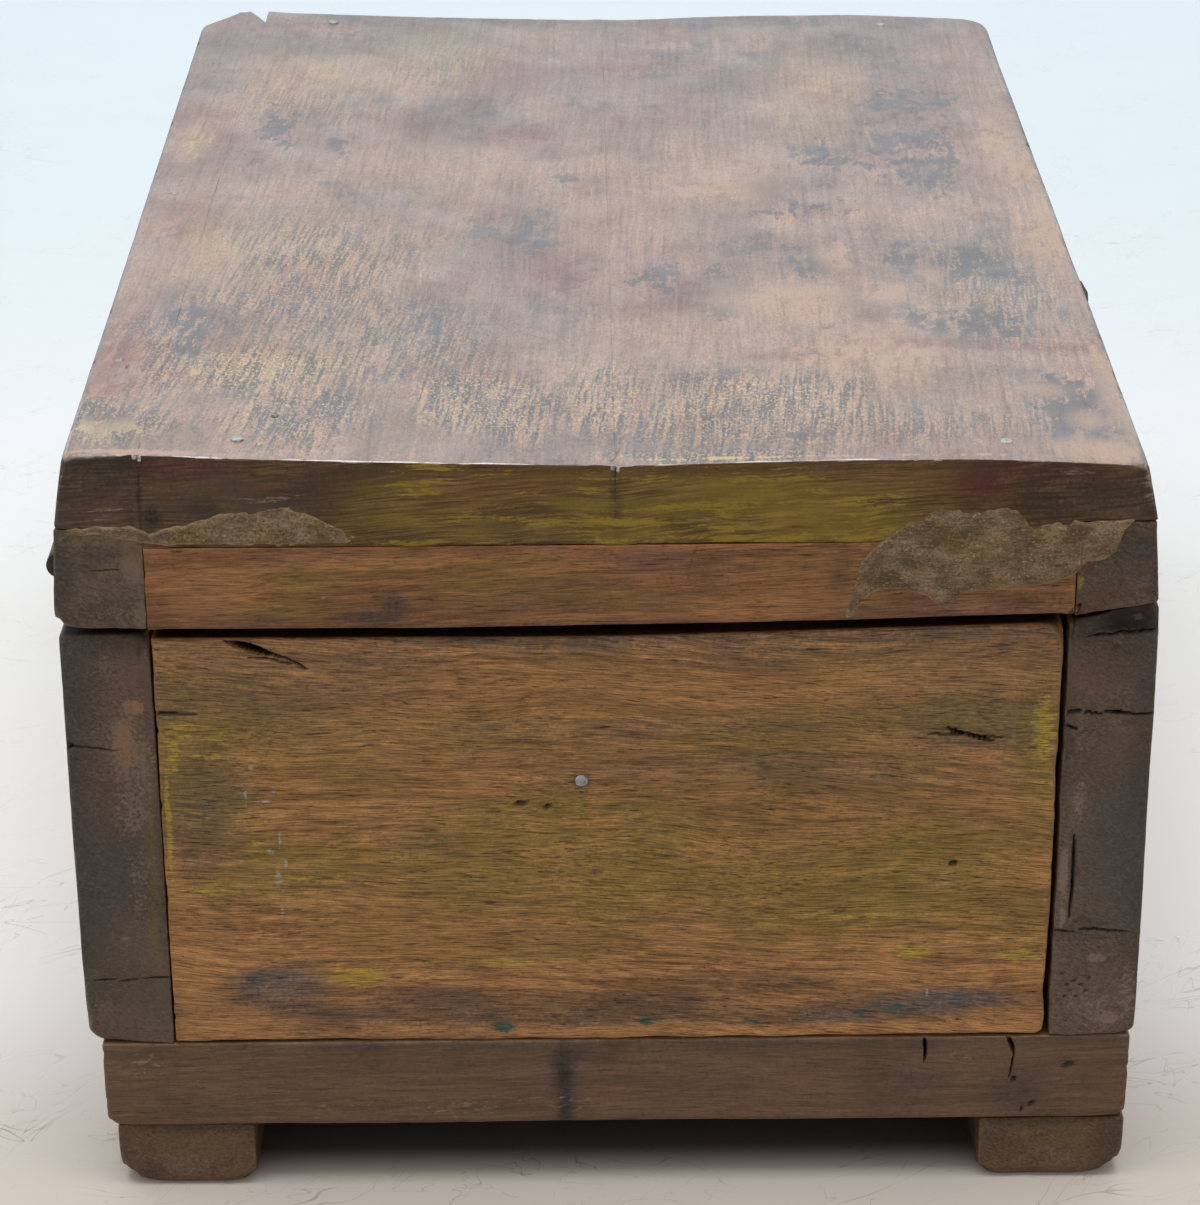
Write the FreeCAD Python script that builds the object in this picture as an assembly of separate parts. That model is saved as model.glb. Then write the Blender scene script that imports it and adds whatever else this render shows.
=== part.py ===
import FreeCAD, Part
import math
import os

from FreeCAD import Placement, Rotation, Vector

# A small plank box on two runners, with a thick lid that is hinged along one long side.
# X runs from the hinge side (-X) to the front (+X), Y runs along the box and Z is up.
# The origin is on the floor, below the middle of the box. All lengths are millimetres.

# Box
box_length = 305.0
box_half_width = 100.4
side_thickness = 16.5
end_thickness = 16.5
hinge_side_height = 86.2
front_side_height = 87.6
front_side_rise = 3.2
end_board_drop = 0.7
end_board_sag = 1.1
end_seam_hinge_side = 0.3
end_seam_front = 0.9
board_wear = 1.2

# Bottom board and runners
bottom_thickness = 18.5
bottom_hinge_inset = 2.6
bottom_front_inset = 0.8
bottom_wear = 1.8
runner_height = 13.8
hinge_runner_width = 26.6
hinge_runner_inset = 4.4
front_runner_width = 28.2
front_runner_inset = 0.9
runner_end_inset = 0.6
runner_outer_round = 6.0
runner_inner_round = 3.0
runner_end_round = 2.5

# Divider inside the box
divider_thickness = 9.0
divider_height = 80.0
divider_offset = 5.3
divider_edge_round = 2.0

# Hinges: iron leaves folded into the joint, with the knuckles outside
hinge_length = 50.0
hinge_from_end = 55.0
leaf_thickness = 0.8
leaf_play = 0.2
leaf_reach = 14.0
leaf_corner_round = 2.0
knuckle_radius = 2.5
knuckle_count = 3
knuckle_play = 0.3
pin_radius = 1.6
pin_running_play = 0.05
pin_proud = 0.6
barrel_clearance = 0.3
hinge_nail_count = 3
hinge_nail_length = 13.0
hinge_nail_head_radius = 2.3
hinge_nail_neck_radius = 1.3
hinge_nail_setback = 6.5

# Lid rim
lid_end_overhang = 1.5
hinge_rail_width = 17.3
hinge_rail_height = 19.6
hinge_rail_overhang = 0.8
hinge_rail_lean = 1.4
hinge_rail_foot_round = 2.4
front_rail_width = 15.4
front_rail_setback = 0.4
front_rail_lean = 1.2
front_rail_foot_round = 0.8
front_rail_rise = 2.2
front_rail_gap = 0.4
end_rail_thickness = 16.5
end_rail_drop = 3.8
end_rail_sag = 1.4
end_rail_front_lift = 0.5
rail_seam = 0.1

# Lid top
strip_thickness = 14.8
strip_proud = 0.4
strip_edge_round = 1.6
strip_far_splay = 2.4
strip_lean = 2.4
middle_thickness = 15.5
middle_seam_offset = 1.2
left_board_dip = 0.4
right_board_swell = 0.5
front_edge_thickness = 11.6
front_edge_lean = 2.2
front_far_splay = 2.4
lid_top_seam = 0.15
dish_radius = 2400.0
lid_edge_round = 2.6
near_corner_wear = 2.2
far_corner_round = 8.0
corner_chip_across = 10.0
corner_chip_along = 16.0
seam_notch_width = 3.4
seam_notch_depth = 10.0

# Nails, with square shanks that taper to the tip
nail_head_radius = 1.1
nail_head_thickness = 0.6
nail_head_sides = 6
forged_sides = 8
shank_sides = 4
nail_shank = 1.5
nail_tip = 0.5
nail_play = 0.05
corner_nail_length = 38.0
corner_nail_height_shares = (0.2, 0.5, 0.8)
bottom_nail_length = 42.0
bottom_nail_inset = 8.0
bottom_nail_share_along_sides = (-0.78, -0.26, 0.26, 0.78)
bottom_nail_share_along_ends = (-0.5, 0.0, 0.5)
runner_nail_length = 27.0
runner_nail_set = 1.2
runner_nail_shares = (-0.82, 0.0, 0.82)
divider_nail_length = 38.0
divider_nail_height = 55.7
lid_nail_length = 28.0
lid_nail_set = 0.1
lid_nail_from_end = 9.0
lid_nail_shares = (-0.79, 0.85)
strip_nail_length = 26.0
strip_nail_set = 0.9
strip_nail_shares = (-0.68, 0.0, 0.68)
rail_nail_length = 34.0
rail_nail_height_share = 0.45

# Latch: a flat iron hook that hangs from the front and swings up to a stud in the lid
hook_reach = 40.0
hook_thickness = 3.0
hook_bar_width = 5.0
hook_neck_width = 3.6
hook_eye_radius = 5.6
hook_end_radius = 4.9
hook_tail_length = 7.5
hook_tail_radius = 1.7
hook_engaged_turn = 184.0
hook_wall_gap = 0.4
pivot_radius = 2.0
pivot_running_play = 0.06
pivot_head_radius = 4.2
pivot_depth = 12.0
stud_radius = 1.7
stud_seat_play = 0.25
stud_height = 10.5
stud_head_radius = 4.0
stud_depth = 11.0
latch_head_thickness = 2.0
latch_head_edge = 0.7
rose_crown_share = 0.45
latch_hole_play = 0.05
latch_from_middle = 0.0

# Every cut runs past the surface that it starts from by this much.
overrun = 2.0

# A rounding may take this share of the shorter side beside it.
rounding_room_share = 0.45

# Places that several pieces share
half_length = box_length / 2
floor_top = runner_height + bottom_thickness
hinge_side_top = floor_top + hinge_side_height
front_side_top = floor_top + front_side_height
hinge_side_inner = -box_half_width + side_thickness
front_side_inner = box_half_width - side_thickness
end_inner = half_length - end_thickness

joint_gap = 2 * leaf_thickness + leaf_play
hinge_rail_bottom = hinge_side_top + joint_gap
hinge_rail_outer = -box_half_width - hinge_rail_overhang
hinge_rail_inner = hinge_rail_outer + hinge_rail_width
rail_top = hinge_rail_bottom + hinge_rail_height
front_rail_outer = box_half_width - front_rail_setback
front_rail_inner = front_rail_outer - front_rail_width
front_rail_bottom = front_side_top + front_side_rise + front_rail_gap - front_rail_rise
end_rail_top = rail_top - end_rail_drop
lid_half_length = half_length + lid_end_overhang

axis_x = hinge_rail_outer - knuckle_radius - barrel_clearance
axis_z = hinge_side_top + joint_gap / 2
hinge_middle = half_length - hinge_from_end

strip_top = rail_top + strip_thickness
middle_top = end_rail_top + middle_thickness
front_edge_top = rail_top + front_edge_thickness

stud_z = rail_top - stud_height
engaged = math.radians(hook_engaged_turn)
pivot_y = latch_from_middle
pivot_z = stud_z + hook_reach * math.cos(engaged)
stud_y = pivot_y + hook_reach * math.sin(engaged)
hook_back = box_half_width + hook_wall_gap
hook_face = hook_back + hook_thickness
latch_head_back = hook_face + hook_wall_gap


def rounded_outline(corners, place):
    """Closed wire through corners (u, v, radius), with each corner rounded by its radius.

    A radius that its two sides have no room for is limited by the shorter side.
    """
    points = [Vector(u, v, 0) for u, v, radius in corners]
    entries = []
    middles = []
    exits = []
    for i, corner in enumerate(points):
        behind = points[i - 1] - corner
        ahead = points[(i + 1) % len(points)] - corner
        room = rounding_room_share * min(behind.Length, ahead.Length)
        behind.normalize()
        ahead.normalize()
        half_angle = behind.getAngle(ahead) / 2
        radius = min(corners[i][2], room * math.tan(half_angle))
        inward = (behind + ahead).normalize()
        entries.append(corner + behind * (radius / math.tan(half_angle)))
        exits.append(corner + ahead * (radius / math.tan(half_angle)))
        middles.append(corner + inward * (radius / math.sin(half_angle) - radius))
    edges = []
    for i, entry in enumerate(entries):
        edges.append(Part.makeLine(place(exits[i - 1]), place(entry)))
        if corners[i][2] > 0:
            arc = Part.Arc(place(entry), place(middles[i]), place(exits[i]))
            edges.append(arc.toShape())
    return Part.Wire(edges)


def across_box(y):
    """Places an outline's (u, v) as (x, z) in the cross section at y."""
    return lambda point: Vector(point.x, y, point.y)


def board(corners, start, end):
    """Board with the same cross section from y = start to y = end."""
    outline = rounded_outline(corners, across_box(start))
    return Part.Face(outline).extrude(Vector(0, end - start, 0))


def tapered_board(near_corners, far_corners):
    """Lid board whose cross section changes evenly from its near end to its far end."""
    near = rounded_outline(near_corners, across_box(-lid_half_length))
    far = rounded_outline(far_corners, across_box(lid_half_length))
    return Part.makeLoft([near, far], True, True)


def rubbed(solid, width, chosen):
    """Takes a narrow flat off the edges that chosen accepts by their middle point."""
    edges = [edge for edge in solid.Edges if chosen(edge.CenterOfMass, edge)]
    return solid.makeChamfer(width, edges)


def is_crosswise(edge):
    """True for an edge that runs mainly along X."""
    box = edge.BoundBox
    return box.XLength > box.ZLength + box.YLength


def mirrored_far(solid):
    """Copy of a near end piece for the far end."""
    return solid.mirror(Vector(0, 0, 0), Vector(0, 1, 0))


def placed(solid, at, heading):
    """Solid made along +Z, moved to start at a point and run along heading."""
    solid.Placement = Placement(at, Rotation(Vector(0, 0, 1), heading)).multiply(solid.Placement)
    return solid


def ring_of_points(radius, sides, z):
    """Corners of a level, even-sided outline at height z."""
    turn = 2 * math.pi / sides
    angles = [(i + 1 / 2) * turn for i in range(sides)]
    return [Vector(radius * math.cos(angle), radius * math.sin(angle), z) for angle in angles]


def flat_sided(rings):
    """Closed solid with flat sides from each ring of corners to the next."""
    faces = [Part.Face(Part.makePolygon(ring + ring[:1])) for ring in (rings[0], rings[-1])]
    for low, high in zip(rings, rings[1:]):
        for i, corner in enumerate(low):
            side = [low[i - 1], corner, high[i], high[i - 1], low[i - 1]]
            faces.append(Part.Face(Part.makePolygon(side)))
    return Part.makeSolid(Part.makeShell(faces))


def shank(start, length, play):
    """Square shank along +Z from start, tapering to a blunt tip."""
    top = ring_of_points((nail_shank / 2 + play) * math.sqrt(2), shank_sides, start)
    tip = ring_of_points((nail_tip / 2 + play) * math.sqrt(2), shank_sides, length + play)
    return flat_sided([top, tip])


def nail_head(radius, low, high):
    """Small flat head of a hand-forged nail, between two heights."""
    return flat_sided([ring_of_points(radius, nail_head_sides, z) for z in (low, high)])


def nail(at, heading, length):
    """Nail with a small flat head, driven from at along heading."""
    head = nail_head(nail_head_radius, 0, nail_head_thickness)
    return placed(head.fuse(shank(nail_head_thickness, length, 0)), at, heading)


def nail_hole(at, heading, length):
    """Room for a nail, open behind its head."""
    head = nail_head(nail_head_radius + nail_play, -overrun, nail_head_thickness + nail_play)
    return placed(head.fuse(shank(0, length, nail_play)), at, heading)


def countersunk(play):
    """Countersunk head as thick as a hinge leaf, or its hole with play."""
    face = ring_of_points(hinge_nail_head_radius + play, forged_sides, 0)
    neck = ring_of_points(hinge_nail_neck_radius + play, forged_sides, leaf_thickness)
    return flat_sided([face, neck])


def hinge_nail(at, heading):
    """Nail with a countersunk head, flush with its leaf."""
    return placed(countersunk(0).fuse(shank(leaf_thickness, hinge_nail_length, 0)), at, heading)


def countersink(at, heading):
    """Countersunk hole through a hinge leaf."""
    return placed(countersunk(nail_play), at, heading)


def hinge_nail_hole(at, heading):
    """Room in the wood for a hinge nail's shank."""
    return placed(shank(0, hinge_nail_length, nail_play), at, heading)


def driven(places):
    """Nails as one group of separate solids."""
    return Part.makeCompound([nail(*place) for place in places])


def bored(solid, holes):
    """Solid with every hole cut that reaches it."""
    return solid.cut(holes).removeSplitter()


def surface_above(solid, x, y):
    """Height of a solid's upper surface at a point of its plan."""
    box = solid.BoundBox
    plumb = Part.makeLine(Vector(x, y, box.ZMin - overrun), Vector(x, y, box.ZMax + overrun))
    return solid.common(plumb).BoundBox.ZMax


# Box sides, ends and divider

def make_hinge_side_board():
    """Long board that carries the hinges on its top edge."""
    corners = [
        (-box_half_width, floor_top, 0),
        (hinge_side_inner, floor_top, 0),
        (hinge_side_inner, hinge_side_top, 0),
        (-box_half_width, hinge_side_top, 0),
    ]
    solid = board(corners, -half_length, half_length)
    return rubbed(solid, board_wear, lambda at, edge: at.x < -box_half_width + board_wear)


def make_front_side_board():
    """Long board of the front, whose top edge rises outwards."""
    corners = [
        (front_side_inner, floor_top, 0),
        (box_half_width, floor_top, 0),
        (box_half_width, front_side_top + front_side_rise, 0),
        (front_side_inner, front_side_top, 0),
    ]
    solid = board(corners, -half_length, half_length)
    return rubbed(solid, board_wear, lambda at, edge: at.x > box_half_width - board_wear)


def make_end_board():
    """Near end board, which stands between the long boards and is worn hollow along its top."""
    hinge_edge = hinge_side_inner + end_seam_hinge_side
    front_edge = front_side_inner - end_seam_front
    sagged = (hinge_side_top + front_side_top) / 2 - end_board_drop - end_board_sag
    corners = [
        (hinge_edge, floor_top, 0),
        (front_edge, floor_top, 0),
        (front_edge, front_side_top - end_board_drop, 0),
        ((hinge_edge + front_edge) / 2, sagged, dish_radius),
        (hinge_edge, hinge_side_top - end_board_drop, 0),
    ]
    solid = board(corners, -half_length, -end_inner)
    top = floor_top + hinge_side_height / 2
    return rubbed(solid, board_wear, lambda at, edge: is_crosswise(edge) and at.z > top)


def make_divider():
    """Upright board that parts the box lengthwise into two candle bays."""
    left = -divider_offset - divider_thickness / 2
    right = -divider_offset + divider_thickness / 2
    corners = [
        (left, floor_top, 0),
        (right, floor_top, 0),
        (right, floor_top + divider_height, divider_edge_round),
        (left, floor_top + divider_height, divider_edge_round),
    ]
    return board(corners, -end_inner, end_inner)


# Bottom board and runners

def make_bottom_board():
    """Board under the four sides, worn round along its lower edges."""
    left = -box_half_width + bottom_hinge_inset
    right = box_half_width - bottom_front_inset
    corners = [
        (left, runner_height, 0),
        (right, runner_height, 0),
        (right, floor_top, 0),
        (left, floor_top, 0),
    ]
    solid = board(corners, -half_length, half_length)
    return rubbed(solid, bottom_wear, lambda at, edge: at.z < floor_top)


def make_runner(left, right, left_round, right_round):
    """Runner under the bottom board, with worn lower edges and ends."""
    corners = [
        (left, 0, left_round),
        (right, 0, right_round),
        (right, runner_height, 0),
        (left, runner_height, 0),
    ]
    reach = half_length - runner_end_inset
    solid = board(corners, -reach, reach)
    return rubbed(solid, runner_end_round, lambda at, edge: is_crosswise(edge) and at.z < runner_end_round)


hinge_runner_left = -box_half_width + hinge_runner_inset
hinge_runner_right = hinge_runner_left + hinge_runner_width
front_runner_right = box_half_width - front_runner_inset
front_runner_left = front_runner_right - front_runner_width


# Lid rim

def make_hinge_rail():
    """Rail of the lid along the hinges, leaning in towards the top."""
    corners = [
        (hinge_rail_outer, hinge_rail_bottom, hinge_rail_foot_round),
        (hinge_rail_inner, hinge_rail_bottom, 0),
        (hinge_rail_inner, rail_top, 0),
        (hinge_rail_outer + hinge_rail_lean, rail_top, 0),
    ]
    return board(corners, -lid_half_length, lid_half_length)


def make_front_rail():
    """Rail of the lid along the front, whose underside rises with the box's edge."""
    corners = [
        (front_rail_inner, front_rail_bottom, 0),
        (front_rail_outer, front_rail_bottom + front_rail_rise, front_rail_foot_round),
        (front_rail_outer - front_rail_lean, rail_top, 0),
        (front_rail_inner, rail_top, 0),
    ]
    return board(corners, -lid_half_length, lid_half_length)


def make_end_rail():
    """Near end rail, let in between the long rails, with a sagging underside."""
    left = hinge_rail_inner + rail_seam
    right = front_rail_inner - rail_seam
    middle = (left + right) / 2
    sagged = (hinge_rail_bottom + front_rail_bottom) / 2 - end_rail_sag
    corners = [
        (left, hinge_rail_bottom, 0),
        (middle, sagged, dish_radius),
        (right, front_rail_bottom + end_rail_front_lift, 0),
        (right, end_rail_top, 0),
        (left, end_rail_top, 0),
    ]
    return board(corners, -lid_half_length, -lid_half_length + end_rail_thickness)


# Lid top

def strip_corners(splay):
    """Cross section of the narrow strip, which stands out by splay at its far end."""
    foot = hinge_rail_outer + hinge_rail_lean - splay
    return [
        (foot, rail_top, 0),
        (hinge_rail_inner - lid_top_seam, rail_top, 0),
        (hinge_rail_inner - lid_top_seam, strip_top, 0),
        (foot + strip_lean, strip_top, strip_edge_round),
    ]


def make_edge_strip():
    """Narrow strip on the hinge rail, with its far corner broken off and a notch beside it."""
    solid = tapered_board(strip_corners(0), strip_corners(strip_far_splay))
    outer = hinge_rail_outer + hinge_rail_lean - strip_far_splay
    inner = hinge_rail_inner - lid_top_seam
    chip = [
        (outer - overrun, lid_half_length - corner_chip_along - overrun, 0),
        (outer + corner_chip_across + overrun, lid_half_length + overrun, 0),
        (outer - overrun, lid_half_length + overrun, 0),
    ]
    notch = [
        (inner, lid_half_length - seam_notch_depth, 0),
        (inner + overrun, lid_half_length - seam_notch_depth, 0),
        (inner + overrun, lid_half_length + overrun, 0),
        (inner - seam_notch_width, lid_half_length + overrun, 0),
    ]
    for corners in (chip, notch, near_corner(hinge_rail_outer + hinge_rail_lean, -1)):
        solid = solid.cut(upright_cut(corners))
    return solid


def upright_cut(corners):
    """Prism over an outline in plan, tall enough to cut through the whole lid."""
    low = hinge_side_top
    outline = rounded_outline(corners, lambda point: Vector(point.x, point.y, low))
    return Part.Face(outline).extrude(Vector(0, 0, strip_top - low + overrun))


def near_corner(x, side):
    """Outline in plan that takes a small flat off the near corner at x, on the side of that sign."""
    near = -lid_half_length
    return [
        (x - side * near_corner_wear, near, 0),
        (x + side * near_corner_wear, near - 2 * near_corner_wear, 0),
        (x + side * near_corner_wear, near + 2 * near_corner_wear, 0),
    ]


def left_board_corners():
    """Cross section of the left main board, which dips a little from the strip to the middle."""
    left = hinge_rail_inner + lid_top_seam
    right = middle_seam_offset - lid_top_seam
    left_top = strip_top - strip_proud
    dip = (left_top + middle_top) / 2 - left_board_dip
    return [
        (left, end_rail_top, 0),
        (right, end_rail_top, 0),
        (right, middle_top, 0),
        ((left + right) / 2, dip, dish_radius),
        (left, left_top, 0),
    ]


def make_left_board():
    """Left main board of the lid, which lies between the hinge rail and the middle seam."""
    return tapered_board(left_board_corners(), left_board_corners())


def right_board_corners(splay):
    """Cross section of the right main board, which laps over the front rail."""
    left = middle_seam_offset + lid_top_seam
    step = front_rail_inner - rail_seam
    foot = front_rail_outer - front_rail_lean + splay
    edge = foot - front_edge_lean
    swell = (middle_top + front_edge_top) / 2 + right_board_swell
    return [
        (left, end_rail_top, 0),
        (step, end_rail_top, 0),
        (step, rail_top, 0),
        (foot, rail_top, 0),
        (edge, front_edge_top, lid_edge_round),
        ((left + edge) / 2, swell, dish_radius),
        (left, middle_top, 0),
    ]


def make_right_board():
    """Right main board of the lid, with its far outer corner worn round."""
    solid = tapered_board(right_board_corners(0), right_board_corners(front_far_splay))
    right = front_rail_outer - front_rail_lean + front_far_splay
    corners = [
        (right - 2 * far_corner_round, lid_half_length, 0),
        (right - 2 * far_corner_round, lid_half_length + far_corner_round, 0),
        (right + far_corner_round, lid_half_length + far_corner_round, 0),
        (right + far_corner_round, lid_half_length - 2 * far_corner_round, 0),
        (right, lid_half_length - 2 * far_corner_round, 0),
        (right, lid_half_length, far_corner_round),
    ]
    for outline in (corners, near_corner(front_rail_outer - front_rail_lean, 1)):
        solid = solid.cut(upright_cut(outline))
    return solid


# Hinges

def knuckle_spans():
    """Start and end of each knuckle along the hinge, counted from its near end."""
    pitch = hinge_length / knuckle_count
    return [(i * pitch + knuckle_play / 2, (i + 1) * pitch - knuckle_play / 2) for i in range(knuckle_count)]


def leaf(start, low, own, nail_places, nail_heading):
    """Hinge leaf lying from z = low, with a knuckle at every second span counted from own."""
    edge = axis_x + knuckle_radius + knuckle_play
    outer = -box_half_width + leaf_reach
    corners = [
        (edge, start, 0),
        (outer, start, leaf_corner_round),
        (outer, start + hinge_length, leaf_corner_round),
        (edge, start + hinge_length, 0),
    ]
    outline = rounded_outline(corners, lambda point: Vector(point.x, point.y, low))
    solid = Part.Face(outline).extrude(Vector(0, 0, leaf_thickness))
    axis = Vector(0, 1, 0)
    for i, (near, far) in enumerate(knuckle_spans()):
        if i % 2 == own:
            centre = Vector(axis_x, start + near, axis_z)
            foot = Vector(axis_x, start + near, low)
            tongue = Part.makeBox(edge - axis_x, far - near, leaf_thickness, foot)
            ring = Part.makeCylinder(knuckle_radius, far - near, centre, axis)
            solid = solid.fuse([tongue, ring])
    bore = Part.makeCylinder(pin_radius + pin_running_play, hinge_length, Vector(axis_x, start, axis_z), axis)
    holes = [countersink(at, nail_heading) for at in nail_places]
    return solid.cut([bore] + holes).removeSplitter()


def make_pin(start):
    """Hinge pin, a little longer than its knuckles."""
    low = Vector(axis_x, start - pin_proud, axis_z)
    return Part.makeCylinder(pin_radius, hinge_length + 2 * pin_proud, low, Vector(0, 1, 0))


def hinge_nail_places(start, z):
    """Points along a leaf where its nails start."""
    x = -box_half_width + hinge_nail_setback
    pitch = hinge_length / hinge_nail_count
    return [Vector(x, start + (2 * i + 1) * pitch / 2, z) for i in range(hinge_nail_count)]


# Latch

def rose_headed_pin(radius, length, head_radius):
    """Round pin along +Z under a rose head, whose underside is at zero."""
    pin = Part.makeCylinder(radius, length)
    rim = ring_of_points(head_radius, forged_sides, 0)
    shoulder = ring_of_points(head_radius, forged_sides, -latch_head_edge)
    crown = ring_of_points(head_radius * rose_crown_share, forged_sides, -latch_head_thickness)
    return pin.fuse(flat_sided([rim, shoulder, crown]))


def on_front(u, v):
    """Point on the back of the hook, u towards +Y and v down from its pivot."""
    return Vector(hook_back, pivot_y + u, pivot_z - v)


def hook_disc(radius, u, v):
    """Round plate of the hook's thickness."""
    return Part.makeCylinder(radius, hook_thickness, on_front(u, v), Vector(1, 0, 0))


def hook_plate(corners):
    """Plate of the hook's thickness over an outline of (u, v, radius) corners."""
    outline = rounded_outline(corners, lambda point: on_front(point.x, point.y))
    return Part.Face(outline).extrude(Vector(hook_thickness, 0, 0))


def make_hook():
    """Latch hook hanging from its pivot: an eye, a tapering bar, an open mouth and a finger tail."""
    bar = hook_plate([
        (-hook_bar_width / 2, 0, 0),
        (hook_bar_width / 2, 0, 0),
        (hook_neck_width / 2 - stud_seat_play, hook_reach, 0),
        (-hook_neck_width / 2 - stud_seat_play, hook_reach, 0),
    ])
    tail = hook_plate([
        (-hook_end_radius, hook_reach, 0),
        (0, hook_reach, 0),
        (-hook_end_radius / 2, hook_reach + hook_tail_length, hook_tail_radius),
        (-hook_end_radius, hook_reach + hook_tail_length, hook_tail_radius),
    ])
    solid = hook_disc(hook_eye_radius, 0, 0)
    solid = solid.fuse([bar, hook_disc(hook_end_radius, 0, hook_reach), tail])
    seat = stud_radius + stud_seat_play
    mouth = hook_plate([
        (0, hook_reach - seat, 0),
        (hook_end_radius + overrun, hook_reach - seat, 0),
        (hook_end_radius + overrun, hook_reach + seat, 0),
        (0, hook_reach + seat, 0),
    ])
    eye = hook_disc(pivot_radius + pivot_running_play, 0, 0)
    return solid.cut([mouth, hook_disc(seat, 0, hook_reach), eye]).removeSplitter()


def latch_pin(radius, head_radius, depth, wood_face, y, z):
    """Rose-headed pin driven into the front as deep as depth below the wood's face."""
    length = latch_head_back - wood_face + depth
    solid = rose_headed_pin(radius, length, head_radius)
    return placed(solid, Vector(latch_head_back, y, z), Vector(-1, 0, 0))


def latch_pin_hole(radius, depth, wood_face, y, z):
    """Room in the wood for a latch pin."""
    start = Vector(wood_face + overrun, y, z)
    length = depth + latch_hole_play + overrun
    return Part.makeCylinder(radius + latch_hole_play, length, start, Vector(-1, 0, 0))


def front_rail_face(z):
    """X of the front rail's leaning outer face at height z."""
    share = (rail_top - z) / (rail_top - front_rail_bottom)
    return front_rail_outer - front_rail_lean * (1 - share)


# Where the nails go: each place is a start, a heading and a length

def corner_nail_places(side):
    """Nails through one long board into both end boards."""
    y = half_length - end_thickness / 2
    heights = [floor_top + share * hinge_side_height for share in corner_nail_height_shares]
    ends = (-y, y)
    return [
        (Vector(side * box_half_width, end, z), Vector(-side, 0, 0), corner_nail_length)
        for end in ends for z in heights
    ]


def bottom_nail_places():
    """Nails up through the bottom board into the four sides."""
    x = box_half_width - bottom_nail_inset
    y = half_length - bottom_nail_inset
    starts = [Vector(side * x, share * half_length, runner_height)
              for side in (-1, 1) for share in bottom_nail_share_along_sides]
    starts += [Vector(share * x, side * y, runner_height)
               for side in (-1, 1) for share in bottom_nail_share_along_ends]
    return [(start, Vector(0, 0, 1), bottom_nail_length) for start in starts]


def runner_nail_places(left, right):
    """Nails up through a runner into the bottom board, with sunk heads."""
    x = (left + right) / 2
    starts = [Vector(x, share * half_length, runner_nail_set) for share in runner_nail_shares]
    return [(start, Vector(0, 0, 1), runner_nail_length) for start in starts]


def divider_nail_places():
    """One nail through the middle of each end board into the divider."""
    z = floor_top + divider_nail_height
    return [
        (Vector(-divider_offset, side * half_length, z), Vector(0, -side, 0), divider_nail_length)
        for side in (-1, 1)
    ]


def lid_nail_places(left, right):
    """Nails down through each main board into the end rails."""
    places = []
    y = lid_half_length - lid_nail_from_end
    for solid, share in zip((left, right), lid_nail_shares):
        for end in (-y, y):
            x = share * front_rail_inner
            z = surface_above(solid, x, end) - lid_nail_set
            places.append((Vector(x, end, z), Vector(0, 0, -1), lid_nail_length))
    return places


def strip_nail_places(strip):
    """Nails down through the narrow strip into the hinge rail, with sunk heads."""
    x = hinge_rail_inner - hinge_rail_width / 2
    places = []
    for share in strip_nail_shares:
        y = share * lid_half_length
        z = surface_above(strip, x, y) - strip_nail_set
        places.append((Vector(x, y, z), Vector(0, 0, -1), strip_nail_length))
    return places


def rail_nail_places():
    """Nails through the long rails into the end rails."""
    y = lid_half_length - end_rail_thickness / 2
    z = hinge_rail_bottom + rail_nail_height_share * hinge_rail_height
    lean = hinge_rail_lean * rail_nail_height_share
    faces = ((-1, hinge_rail_outer + lean), (1, front_rail_face(z)))
    return [
        (Vector(x, end, z), Vector(-side, 0, 0), rail_nail_length)
        for side, x in faces for end in (-y, y)
    ]


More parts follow.
